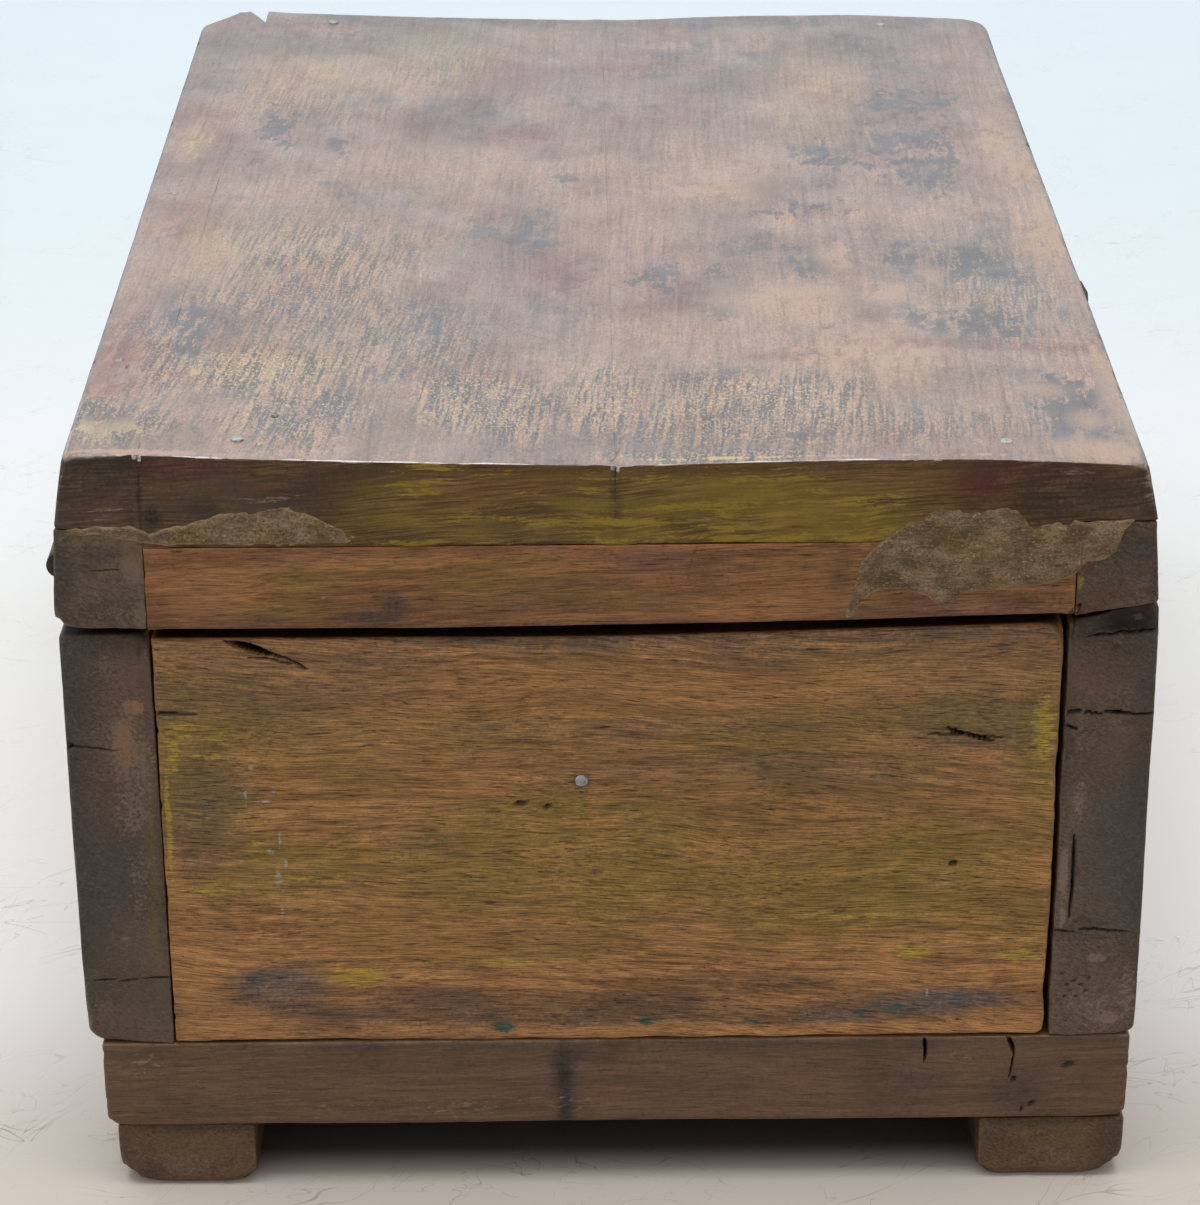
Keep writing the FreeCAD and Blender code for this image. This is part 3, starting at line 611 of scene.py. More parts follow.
def old_wood(name, axis, tint, end_tint=None, grain=1.0, mottle=0.35, slant=0.0, top=None, drift=4.0):
    """Old bare or painted wood.

    Noise drawn out along the grain gives the figure of the wood, its fibres and its pores, and
    drift is how far in millimetres its lines wander. The wash attribute is a soft coat under
    them and the paint attribute a broken one. The wear attribute paints near-black shade into
    cracks, pits, the hollow and the gap under the lid, and lightens rubbed edges. End grain has
    its own colour, and so has the bare wood of the inner faces. With top, the upper face is
    rubbed paint in that colour, with strokes and flecks.
    """
    finish = Finish(name, 0.55, 0.62 if top else 0.30)
    reach = [drift] * 3
    reach[axis] = 0.0
    finish.sway(along_grain(axis, 26, 60), reach)
    turn = (0, slant, 0)
    broad = finish.noise(along_grain(axis, 7, 90), 3, 0.5, turn=turn)
    figure = finish.noise(along_grain(axis, 1.6, 30), 5, 0.65, turn=turn, shift=(3, 5, 7))
    fibre = finish.noise(along_grain(axis, 0.26, 5.5), 4, 0.65, turn=turn, shift=(11, 2, 5))
    pores = finish.noise(along_grain(axis, 0.30, 6.5), 3, 0.6, turn=turn, shift=(1, 9, 4))
    clouds = finish.noise((15, 15, 15), 6, 0.62, shift=(8, 8, 1))
    speck = finish.noise((0.8, 0.8, 0.8), 4, 0.65, shift=(2, 6, 3))
    brushed = finish.noise((9, 60, 0.42), 4, 0.62, turn=(0, -0.05, 0), shift=(2, 2, 9))
    pitted = finish.noise((0.9, 3, 0.42), 8, 0.82, turn=(0, 0.35, 0), shift=(5, 1, 1))
    painted_shade, rub, end, bare = finish.channels("wear")
    long_face = finish.math("SUBTRACT", 1.0, end)
    inner = colours().inner_brown

    dark, light = 1 - 0.32 * min(1, 1.2 * grain), 1 + 0.34 * min(1, 1.2 * grain)
    shade = finish.between(scaled(tint, dark), scaled(tint, light), figure, 0.36)
    shade = finish.over(shade, scaled(tint, 0.55), broad, 0.44, 0.66, 0.55 * grain)
    bared = finish.between(scaled(inner, 0.66), scaled(inner, 1.30), figure)
    shade = finish.blend(finish.times(bare, 0.9), shade, bared)
    if end_tint:
        pattern = brushed if top else finish.blend(0.35, pitted, clouds)
        across = finish.between(scaled(end_tint, 0.44), scaled(end_tint, 1.50), pattern)
        shade = finish.over(shade, across, end, 0.3, 0.7)
    shade = finish.over(shade, scaled(tint, 0.45), clouds, 0.46, 0.7, mottle)

    wash, coat = finish.attribute("wash")
    coat = finish.times(coat, finish.ease(finish.blend(0.45, clouds, speck), 0.34, 0.60, 0.45, 1.0))
    shade = finish.blend(coat, shade, wash)
    scrape = finish.noise(along_grain(axis, 0.8, 2.2), 6, 0.72, shift=(4, 1, 8))
    if top:
        shade, height, shown = rubbed_top(finish, shade, top, clouds)
        long_face = finish.times(long_face, finish.math("SUBTRACT", 1.0, finish.times(shown, 0.72)))
    paint, cover = finish.attribute("paint")
    left = finish.ragged(cover, finish.blend(0.8, clouds, scrape), 2.4, 0.42, 0.66)
    if top:
        torn = finish.noise((3.0, 7, 3.0), 7, 0.76, turn=(0, 0, -0.09), shift=(2, 9, 5))
        drawn = finish.blend(0.6, brushed, finish.noise((1.7, 9, 0.40), 7, 0.78, shift=(1, 5, 8)))
        above = finish.ragged(cover, torn, 2.2, 0.47, 0.57)
        left = finish.blend(shown, finish.ragged(cover, drawn, 2.6, 0.42, 0.66), above)
    shade = finish.blend(finish.times(left, 0.85), shade, paint)

    for pattern, low, high, share, dimmed in (
            (fibre, 0.48, 0.66, 0.75, (0.34, 0.29, 0.26)), (fibre, 0.50, 0.36, 0.55, (1.9, 1.7, 1.45)),
            (pores, 0.63, 0.69, 0.75, (0.20, 0.16, 0.15))):
        lines = finish.times(finish.ease(pattern, low, high), finish.times(share * grain, long_face))
        shade = finish.blend(lines, shade, dimmed, "MULTIPLY")
    shade = finish.over(shade, (0.42, 0.38, 0.36), speck, 0.53, 0.7, 0.45, "MULTIPLY")
    shade = finish.over(shade, (1.6, 1.5, 1.35), speck, 0.44, 0.3, 0.4, "MULTIPLY")
    shade = finish.blend(finish.times(rub, 0.35), shade, (1.5, 1.4, 1.3), "MULTIPLY")
    # Painted shade: cracks, pits, the hollow and the gap under the lid go near-black.
    shade = finish.blend(painted_shade, shade, (0.005, 0.004, 0.004))

    relief = finish.plus(finish.times(fibre, 0.5 * grain), finish.times(speck, 0.4))
    relief = finish.math("SUBTRACT", relief, finish.times(lines, 0.8))
    if end_tint:
        relief = finish.plus(relief, finish.times(finish.times(pitted, end), 0.6 if top else 2.2))
    if top:
        relief = finish.plus(relief, height)
    finish.bump(relief, 0.28)
    finish.set("Roughness", finish.plus(
        finish.ease(clouds, 0.3, 0.7, 0.36, 0.56), finish.times(end, 0.22)))
    return finish.done(shade)


def long_side_wood(name):
    """Wood of the long boards and the long rails."""
    return old_wood(name, ALONG_Y, colours().side_brown, colours().side_end, 0.7)


def rubbed_top(finish, under, tint, clouds):
    """Rubbed paint on an upper face, over what is under it.

    Warmer, redder and greyer coats show in clouds with torn edges. Soft brush lines follow the
    grain, and where the side attribute says, longer strokes that lean a little and a net of
    ochre and slate flecks break through. A worn clear coat gives it a haze. Also returned are
    the height of the strokes and how far the upper face shows.
    """
    shades = colours()
    up, flecks = finish.channels("side")[:2]
    lean = (0, 0, -0.09)
    warm = finish.noise((24, 34, 24), 5, 0.6, shift=(3, 3, 1))
    ruddy = finish.noise((18, 30, 18), 5, 0.62, shift=(1, 7, 1))
    grey = finish.noise((16, 26, 16), 6, 0.66, shift=(9, 4, 1))
    torn = finish.noise((2.6, 6.0, 2.6), 7, 0.74, turn=lean, shift=(6, 2, 3))
    brush = finish.noise((1.0, 46, 1.0), 4, 0.6, turn=(0, 0, -0.02), shift=(5, 5, 2))
    strokes = finish.noise((0.80, 15, 0.80), 3, 0.55, turn=lean, shift=(2, 4, 6))
    grit = finish.noise((0.5, 1.2, 0.5), 4, 0.7, turn=lean, shift=(7, 1, 2))
    net = finish.noise((0.5, 0.85, 0.5), 3, 0.6, shift=(3, 8, 2))

    mixed = finish.blend(0.3, warm, torn)
    coat = finish.between(scaled(tint, 0.84), scaled(tint, 1.20), mixed, 0.42, 0.58)
    for shade, pattern, ragged, low, high, most in (
            (shades.lid_red, ruddy, 0.3, 0.52, 0.62, 0.45),
            (shades.lid_slate, grey, 0.4, 0.52, 0.58, 0.55),
            (shades.lid_tan, warm, 0.4, 0.54, 0.60, 0.50)):
        coat = finish.over(coat, shade, finish.blend(ragged, pattern, torn), low, high, most)
    wash, share = finish.attribute("wash")
    coat = finish.blend(finish.times(share, finish.ease(torn, 0.38, 0.58, 0.35, 1.0)), coat, wash)
    coat = finish.over(coat, (0.55, 0.52, 0.52), brush, 0.5, 0.66, 0.45, "MULTIPLY")
    coat = finish.over(coat, (1.4, 1.32, 1.2), brush, 0.48, 0.34, 0.4, "MULTIPLY")

    busy = finish.ease(flecks, 0.0, 0.7, 0.12, 1.0)
    for pattern, low, high, where, most, shade in (
            (strokes, 0.50, 0.56, busy, 0.85, scaled(shades.lid_slate, 0.9)),
            (strokes, 0.47, 0.40, busy, 0.60, shades.lid_tan),
            (net, 0.53, 0.60, flecks, 0.85, shades.ochre),
            (net, 0.46, 0.38, busy, 0.60, scaled(shades.lid_slate, 0.8))):
        share = finish.times(finish.ease(pattern, low, high), where)
        coat = finish.blend(finish.times(share, most), coat, shade)
    coat = finish.over(coat, (0.45, 0.42, 0.42), grit, 0.52, 0.64, 0.5, "MULTIPLY")
    coat = finish.over(coat, (1.5, 1.42, 1.3), grit, 0.46, 0.34, 0.45, "MULTIPLY")
    shown = finish.ease(up, 0.25, 0.75)
    haze = finish.times(shown, finish.ease(clouds, 0.3, 0.7, 1.0, 0.75))
    finish.set("Coat Weight", haze)
    finish.set("Coat Roughness", 0.34)
    finish.set("Coat IOR", 1.72)
    finish.set("Specular IOR Level", finish.ease(up, 0.25, 0.75, 0.15, 0.62))
    height = finish.times(finish.plus(finish.times(strokes, 0.8), finish.times(grit, 0.5)), shown)
    return finish.blend(shown, under, coat), height, shown


def crusty_filler(name):
    """Old crumbly filler: brown, olive and grey patches, faint strokes, pale grains and a pale rim."""
    finish = Finish(name, 0.85, 0.15)
    tint = colours().filler
    lumps = finish.noise((6, 6, 4), 6, 0.68)
    patches = finish.noise((9, 9, 6), 5, 0.7, shift=(4, 1, 6))
    streaks = finish.noise((3.5, 3, 0.4), 5, 0.7, shift=(1, 8, 3))
    grains = finish.noise((0.5, 0.5, 0.4), 4, 0.7, shift=(2, 3, 1))
    rim = finish.channels("wear")[0]
    shade = finish.between(scaled(tint, 0.62), scaled(tint, 1.22), lumps)
    shade = finish.over(shade, scaled(tint, 0.4), patches, 0.52, 0.62, 0.36)
    shade = finish.over(shade, scaled(colours().olive, 0.85), patches, 0.47, 0.4, 0.4)
    shade = finish.over(shade, (0.5, 0.46, 0.44), streaks, 0.5, 0.64, 0.55, "MULTIPLY")
    shade = finish.over(shade, (1.5, 1.4, 1.3), streaks, 0.46, 0.34, 0.5, "MULTIPLY")
    shade = finish.over(shade, scaled(tint, 0.38), grains, 0.51, 0.62, 0.75)
    shade = finish.over(shade, scaled(tint, 2.0), grains, 0.43, 0.34, 0.7)
    pale = finish.times(rim, finish.ease(streaks, 0.62, 0.44, 0.1, 0.7))
    shade = finish.blend(pale, shade, scaled(tint, 1.75))
    finish.bump(finish.plus(finish.times(grains, -0.8), finish.times(lumps, 1.2)), 0.45)
    return finish.done(shade)


def aged_iron(name, tint, shine=0.0, rust=0.5):
    """Brown iron, rust in patches and darker pits, with worn bright spots."""
    finish = Finish(name, 0.6, 0.5)
    patch = finish.noise((7, 7, 7), 5, 0.65)
    pits = finish.noise((0.8, 0.8, 0.8), 4, 0.7, shift=(1, 4, 2))
    fine = finish.noise((0.3, 0.3, 0.3), 3, 0.6, shift=(5, 4, 2))
    shade = finish.between(scaled(tint, 0.7), scaled(tint, 1.3), patch)
    shade = finish.over(shade, (0.16, 0.062, 0.026), patch, 0.5, 0.64, rust)
    shade = finish.over(shade, (0.025, 0.018, 0.015), pits, 0.52, 0.66, 0.7)
    shade = finish.over(shade, (0.25, 0.2, 0.17), fine, 0.55, 0.7, 0.5)
    finish.set("Metallic", finish.ease(patch, 0.35, 0.65, 0.75 - shine, 0.30))
    finish.set("Roughness", finish.ease(pits, 0.35, 0.65, 0.42, 0.72))
    finish.bump(finish.plus(pits, finish.times(fine, 0.4)), 0.15)
    return finish.done(shade)


def finish_named(name):
    """The finish of that name, made when it is first asked for."""
    full_name = "old_" + name
    return bpy.data.materials.get(full_name) or FINISHES[name](full_name)


FINISHES = {
    "panel": lambda name: old_wood(name, ALONG_X, colours().panel_brown, slant=0.045, drift=8.0),
    "side": long_side_wood,
    "base": lambda name: old_wood(name, ALONG_X, colours().base_brown, grain=0.40, mottle=0.3),
    "runner": lambda name: old_wood(name, ALONG_Y, colours().base_brown, colours().runner_end, 0.5),
    "inner": lambda name: old_wood(name, ALONG_Y, colours().inner_brown),
    "rail": lambda name: old_wood(name, ALONG_X, colours().rail_brown, grain=0.75, slant=-0.03),
    "lid_side": long_side_wood,
    "lid": lambda name: old_wood(
        name, ALONG_Y, colours().side_brown, colours().lid_end, 0.6, 0.3, top=colours().lid_brown),
    "filler": crusty_filler,
    "iron": lambda name: aged_iron(name, colours().iron),
    "nail": lambda name: aged_iron(name, colours().nail_grey, 0.4, 0.15),
    "hook": lambda name: aged_iron(name, colours().iron, 0.1, 0.35),
}


# Pieces

class CANDLEBOX_OT_side_boards(bpy.types.Operator):
    """Makes the two long boards, with dark cracked end grain and rubbed outer edges."""
    bl_idname = "candlebox.side_boards"
    bl_label = "Side Boards"

    def execute(self, context):
        self.hinge_side()
        self.front_side()
        return {"FINISHED"}

    def hinge_side(self):
        """Long board at the hinges, whose lower edge rises by a random line along X."""
        shades = colours()
        board = Board(
            "hinge_side_board", (0.8, 2.6, 1.0), 100,
            worn=(((-1, 0, -1), 8.0, 2.4), ((1, -1, 1), 5.0, 2.0), ((-1, 0, 1), 3.0, 0.3),
                  ((1, 0, 0), 4, -0.3)),
            fine=((), (), ((46.6, 0.8, 0.2), (95.5, 1.2, 0.2), (33, 1.2, 0.2))))
        x, _, z = board.xyz()
        board.move(2, (0.15 + 0.2 * wander(x, 4.0, 101)) * (1 - eased(z, 32.3, 36)))
        board.weather(ALONG_Y)
        board.crack("near",
            (-98.0, 46.3, -94.0, 46.6, 0.4, 0.26), (-93.5, 46.3, -90.0, 46.5, 0.4, 0.22, 0.35, 2),
            (-88.6, 46.9, -83.0, 46.8, 0.45, 0.36, 0.35, 3), (-102.0, 96.6, -99.2, 96.0, 1.3, 1.0),
            (-99.6, 96.0, -91, 95.2, 0.3, 0.25), (-86.0, 116.5, -85.3, 104, 0.3, 0.16))
        board.lay("wash", "near", shades.soot, (
            (-100, 95, 5, 30, 0.85), (-97, 62, 7, 24, 0.75), (-93, 117, 10, 3, 0.7),
            (-91, 72, 5, 18, 0.55), (-90, 44, 7, 6, 0.5), (-84.5, 80, 1.2, 30, 0.5),
            (-99, 78, 4, 42, 0.5)))
        board.lay("wash", "near", shades.grime, (
            (-93, 74, 7, 18, 0.55), (-99, 110, 4, 12, 0.4), (-88, 40, 5, 6, 0.4)))
        board.lay("wash", "near", shades.worn_red, (
            (-88, 106, 5, 10, 0.45), (-95, 36, 6, 6, 0.35), (-92, 88, 5, 9, 0.35)))
        board.lay("paint", "near", scaled(shades.tan, 0.45), (
            (-88, 95, 5, 12, 0.56), (-89, 84, 4, 8, 0.54), (-92.5, 112, 1.6, 4, 0.5),
            (-88, 66, 3, 12, 0.46), (-91.6, 55.5, 0.9, 0.9, 0.8), (-97, 40, 3, 5, 0.42)))
        board.lay("paint", "near", scaled(shades.panel_brown, 1.15), (
            (-87.3, 104.3, 1.8, 1.5, 0.74), (-89.5, 97, 2, 4, 0.5)))
        board.lay("wash", "near", scaled(shades.tan, 0.3), ((-90, 48, 8, 12, 0.45),))
        board.lay("wash", "near", shades.olive, ((-86, 68, 1.2, 24, 0.45), (-85.5, 86, 1.2, 9, 0.4)))
        age_long_side(board, "hinge", 118, 1)
        board.paint_gap_shade()
        board.finish("box", "side_wood", finish_named("side"), "front")

    def front_side(self):
        """Long board at the front.

        Its top falls evenly towards the inside, its inner edge wanders up and down Z, and its
        outer upper corner is hollowed by a smooth step along X and Z, with painted shade in the
        hollow under the lid's overhang.
        """
        shades = colours()
        rise = 3.2
        board = Board(
            "front_side_board", (0.8, 2.6, 1.0), 120,
            worn=(((1, -1, 1), 6.0, 1.6), ((1, 0, -1), 4.0, 1.0), ((-1, -1, 1), 4.0, 1.0),
                  ((-1, 0, 0), 4, -0.3)),
            fine=(((88.4, 3.0, 0.3),), (), ((100.8, 1.2, 0.2), (98.2, 0.6, 0.2), (55.2, 0.8, 0.2),
                  (117.6, 1.6, 0.2), (33, 1.2, 0.2), (43.2, 2.5, 0.3))))
        x, _, z = board.xyz()
        board.move(2, -rise * (1 - board.share[:, 0]) * board.share[:, 2])
        board.move(2, (0.15 + 0.25 * wander(x, 4.0, 121)) * (1 - eased(z, 32.3, 36)))
        board.move(0, -0.28 * wander(z, 6.0, 122) * (1 - board.share[:, 0]))
        hollow = eased(z, 117.2, 118.0) * eased(x, 88, 93) * board.facing["near"]
        board.weather(ALONG_Y)
        board.move(1, hollow * (1.5 + 0.5 * cloud(board.at, 3.0, 125)))
        # Painted shade: the hollow is darkened where the lid's overhang shades it.
        board.painted_shade = np.maximum(board.painted_shade, 0.55 * hollow)
        board.crack("near",
            (82.8, 100.9, 86.4, 101.4, 0.9, 1.0), (86.4, 101.3, 91, 100.8, 0.4, 0.5, 0.35, 1),
            (91, 101.0, 96.4, 100.6, 0.75, 0.9, 0.35, 2),
            (96.0, 100.4, 101.5, 101.2, 0.4, 0.6, 0.35, 3),
            (82.8, 98.9, 86.4, 97.8, 0.6, 0.7, 0.35, 4), (83.0, 55.4, 88.0, 55.2, 0.4, 0.6),
            (88.4, 55.6, 98.0, 54.9, 0.4, 0.7, 0.35, 5), (87, 116.9, 101.5, 117.6, 0.5, 0.6, 0.5, 6),
            (87.0, 76, 86.8, 58, 0.8, 0.35, 0.2, 7))
        holes = (
            (86.8, 43.5), (88.2, 44.4), (87.5, 42.2), (89.5, 43.5), (90.6, 42.2), (88.8, 41.0),
            (86.5, 41.0), (91.0, 45.0), (85.8, 45.8), (97.5, 38.0), (93.0, 47.5))
        board.worm_holes("near", holes, 0.8, 0.1, 0.5, 0.18, 0.0, 20)
        board.lay("wash", "near", shades.soot, (
            (99, 85, 3, 40, 0.7), (92, 119, 9, 4, 0.9), (94, 112, 6, 6, 0.6),
            (84.5, 100, 1.2, 18, 0.6), (88, 89, 6, 4, 0.35)))
        board.lay("wash", "near", shades.grime, (
            (95, 74, 7, 15, 0.8), (98, 105, 3, 9, 0.5), (90, 58, 5, 4, 0.4)))
        board.lay("wash", "near", shades.worn_red, (
            (88, 107, 6, 7, 0.5), (92, 93, 8, 7, 0.45), (91, 44, 9, 8, 0.25)))
        board.lay("paint", "near", scaled(shades.tan, 0.5), (
            (85.3, 68, 0.9, 6, 0.95), (85.2, 58, 0.6, 2.5, 0.9), (87.5, 84, 1.6, 6, 0.55),
            (92, 49.5, 2.2, 1.2, 0.8), (94.5, 36.4, 2.5, 1.4, 0.8), (90, 39, 8, 6, 0.46),
            (98, 42, 2, 8, 0.55), (96.5, 119.6, 1.2, 0.8, 0.9)))
        age_long_side(board, "front", 122, 2)
        board.paint_gap_shade()
        board.finish("box", "side_wood", finish_named("side"), "hinge")


def age_long_side(board, face, top, seed):
    """Old paint on a long side.

    It is dark along the edges, olive and red in the field, and bare where hands rubbed.
    """
    shades = colours()
    y, z = board.at[:, 1], board.at[:, 2]
    shown = board.shown(face)
    field = 0.5 + 0.5 * cloud(board.at, (60.0, 60.0, 24.0), 40 + seed, 5)
    board.spread("wash", shades.olive, shown * eased(field, 0.46, 0.62) * 0.6)
    board.spread("wash", scaled(shades.red, 0.6), shown * eased(field, 0.46, 0.34) * 0.45)
    edge = 1 - eased(np.minimum(152 - abs(y), np.minimum(z - 32, top - z)), 1, 12 + 6 * board.roam[0])
    board.spread("wash", shades.soot, shown * 0.8 * np.clip(edge, 0, 1))
    thick = eased(cloud(board.at, (30, 30, 12), 50 + seed, 5), 0.05, 0.5)
    board.spread("paint", scaled(shades.yellow, 0.7), shown * thick * 0.55)
    rubbed = eased(cloud(board.at, (40, 40, 16), 60 + seed, 5), 0.10, 0.5)
    board.spread("paint", scaled(shades.tan, 0.55), shown * rubbed * 0.60)


class CANDLEBOX_OT_end_boards(bpy.types.Operator):
    """Makes the two end boards, with open grain, olive paint, a split and dark checks."""
    bl_idname = "candlebox.end_boards"
    bl_label = "End Boards"

    def execute(self, context):
        self.end_board("near_end_board", "near", 140)
        self.end_board("far_end_board", "far", 160)
        return {"FINISHED"}

    def end_board(self, node, face, seed):
        """Board between the long ones.

        Its top falls along X by a line plus a parabola, its sides draw back from the long
        boards by random lines along Z, and its foot rises by a random line along X.
        """
        worn = (((1, 0, 1), 4.0, 0.8), ((1, -1, 1), 5.0, 1.2), ((1, 0, -1), 2.5, 0.6),
                ((-1, 0, 0), 1.5, -0.2))
        fine = (((-63, 8, 0.45), (67, 5, 0.5)), (), ((102.4, 0.8, 0.2), (96.6, 1.4, 0.3),
                (115, 2.8, 0.25), (33.2, 1.5, 0.2)))
        board = Board(node, (1.1, 2.2, 0.8), seed, worn=worn, fine=fine)
        x, _, z = board.xyz()
        across = board.share[:, 0]
        fall, sag = 1.5, 4.4
        drop = fall * (1 - across) + sag * across * (1 - across)
        board.move(2, -drop * board.share[:, 2])
        right = 0.2 + 0.42 * wander(z, 6.0, seed + 1)
        board.move(0, 0.18 * wander(z, 7.0, seed) * (1 - across) - right * across)
        board.move(2, (0.40 + 0.38 * wander(x, 8.0, seed + 2)) * (1 - eased(z, 32.3, 37)))
        board.weather(ALONG_X)
        board.crack(face,
            (-85, 102.6, -75.8, 102.3, 0.5, 0.8), (-70.2, 117.2, -61.5, 114.4, 1.7, 1.0, 0.25),
            (-64.0, 115.2, -59.0, 113.4, 0.6, 0.7, 0.2, 1),
            (-59.8, 113.9, -55.2, 111.4, 0.45, 0.5, 0.2, 8),
            (-66.0, 114.0, -58.0, 112.4, 0.4, 0.4, 0.4, 2), (62.0, 98.0, 71.5, 95.5, 0.9, 0.8, 0.5),
            (58.6, 97.1, 66.0, 96.8, 0.4, 0.5), (66.0, 96.6, 73.5, 95.9, 0.4, 0.4, 0.35, 3),
            (-21.0, 83.9, -11.0, 82.6, 0.4, 0.4, 0.35, 4),
            (59.0, 70.2, 66.0, 69.6, 0.35, 0.5, 0.35, 5),
            (-16.0, 105.2, -9.0, 105.0, 0.35, 0.4, 0.35, 6))
        self.paint(board, face)
        board.paint_gap_shade()
        inner = "far" if face == "near" else "near"
        board.finish("box", "end_panel_wood", finish_named("panel"), inner)

    def paint(self, board, face):
        """Olive paint down to a ragged lower limit, bare wood under it, and the marks on both."""
        shades = colours()
        x, _, z = board.xyz()
        shown = board.shown(face)
        paint_end, rise = 49.3, 13
        limit = paint_end + rise * eased(-x, 42, 66) + 1.0 * wander(x, 12.0, 5)
        patches = eased(cloud(board.at, (26, 26, 9), 11, 5), -0.35, 0.45)
        above = eased(z, limit - 0.3, limit + 0.5) * (1 - eased(z, 106, 119) * 0.75)
        board.spread("wash", shades.olive, shown * above * (0.14 + 0.50 * patches))
        rich = eased(cloud(board.at, (16, 16, 9), 12, 4), -0.1, 0.35)
        rich = rich * np.exp(-((z - limit - 1.2) / 1.6) ** 2)
        board.spread("paint", shades.yellow, shown * 0.62 * rich * (1 - eased(-x, 45, 60)))
        board.lay("wash", face, shades.olive, (
            (-76, 100, 7, 8, 0.8), (-81, 92, 3, 9, 0.8), (-64, 98, 8, 6, 0.55), (79, 92, 4, 13, 0.8),
            (60, 101, 10, 4, 0.5), (-60, 69, 12, 5, 0.6), (-74, 66, 6, 3, 0.7), (38, 62, 40, 7, 0.55),
            (62, 75, 14, 5, 0.55), (-10, 72, 40, 8, 0.35)))
        board.lay("wash", face, scaled(shades.soot, 1.6), (
            (-77, 80, 8, 13, 0.5), (-79, 106, 5, 5, 0.45), (-45, 113, 14, 3, 0.45),
            (12, 118, 90, 3.4, 0.75), (-76, 114, 8, 6, 0.4), (76, 112, 10, 6, 0.45),
            (66, 97, 13, 3.4, 0.5), (-62, 108, 24, 9, 0.42), (66, 106, 20, 10, 0.4),
            (-30, 38, 60, 5, 0.4), (20, 37, 50, 4, 0.35), (30, 91, 34, 2.6, 0.45),
            (-35, 76, 7, 2.5, 0.35), (4, 99, 50, 2.2, 0.35), (50, 88, 26, 2, 0.35),
            (30, 113, 30, 2.4, 0.35)))
        board.lay("wash", face, scaled(shades.soot, 1.1), (
            (-64, 43.5, 8.5, 4.6, 0.85), (-58, 38, 9, 3, 0.5), (62, 38.5, 13, 3, 0.8),
            (42, 38, 9, 2.4, 0.6), (-18, 37, 26, 2.6, 0.6), (6, 39, 12, 3.4, 0.5),
            (-34, 41, 10, 3, 0.45), (30, 45, 16, 2, 0.35)))
        board.lay("wash", face, scaled(shades.slate, 0.55), (
            (62, 40.0, 12, 2.6, 0.7), (-63, 45, 7, 3.4, 0.6), (44, 37, 6, 1.6, 0.5)))
        board.lay("wash", face, scaled(shades.panel_brown, 1.25), (
            (-70, 36, 12, 2.6, 0.8), (-79, 50, 4, 13, 0.55), (74, 36, 12, 2, 0.8),
            (20, 34.6, 70, 1.1, 0.75), (-40, 54, 30, 4, 0.35), (60, 108, 24, 3, 0.35),
            (-44, 100, 14, 6, 0.35), (14, 106, 40, 3, 0.3), (79, 47, 5, 2, 0.7)))
        board.lay("paint", face, shades.yellow, (
            (-48, 46.6, 7.5, 2.5, 0.74), (57, 51.2, 4.6, 1.6, 0.86), (-20, 49.3, 11, 0.6, 0.75),
            (70.5, 46.6, 0.9, 0.5, 0.95), (61.5, 46, 1.0, 0.5, 0.6), (-80.8, 96, 1.6, 7, 0.62),
            (-82.4, 78, 0.6, 14, 0.8), (79.8, 98, 2.4, 8, 0.64), (-79, 99.5, 3, 2.4, 0.6),
            (-73, 97.5, 2.6, 1.6, 0.55), (76, 49.8, 4, 0.7, 0.62), (-75.5, 65.2, 1.8, 1.0, 0.8),
            (-66, 79.0, 2.4, 0.8, 0.62), (-66, 75.2, 2.2, 0.8, 0.66), (-74, 93.4, 5, 1.0, 0.55),
            (-56, 68, 12, 1.2, 0.5), (50, 59, 26, 1.0, 0.5)))
        board.lay("paint", face, shades.teal, (
            (-20.4, 35.6, 2.6, 1.5, 0.74), (7.4, 36.4, 2.6, 1.3, 0.72), (47.6, 38, 1.9, 1.0, 0.66),
            (54.6, 38.6, 2.6, 1.9, 0.62), (27, 36.4, 2, 1, 0.6), (46, 41, 1.6, 1.2, 0.5)))
        board.lay("paint", face, scaled(shades.nail_grey, 0.75), (
            (-67.8, 85, 0.4, 2.6, 0.66), (-65.0, 84.2, 2.6, 0.4, 0.64), (-66.5, 91, 0.5, 1.6, 0.6),
            (-62.6, 87.2, 0.3, 2.3, 0.58), (-61.8, 76.4, 0.4, 2.6, 0.64),
            (-63.4, 73.6, 1.6, 0.5, 0.66), (-60.8, 71, 0.5, 1.4, 0.64), (-62.3, 67.6, 0.5, 2.4, 0.64),
            (-61.9, 61.0, 0.4, 1.8, 0.64), (60.3, 42.2, 0.5, 0.9, 0.8), (-58.6, 47.6, 1.3, 0.5, 0.55)))
        nail_x, nail_z, reach = -5.3, 88.0, 1.9
        halo = np.exp(-(np.hypot(x - nail_x, z - nail_z) / reach) ** 4)
        board.spread("wash", shades.soot, shown * 0.85 * halo)


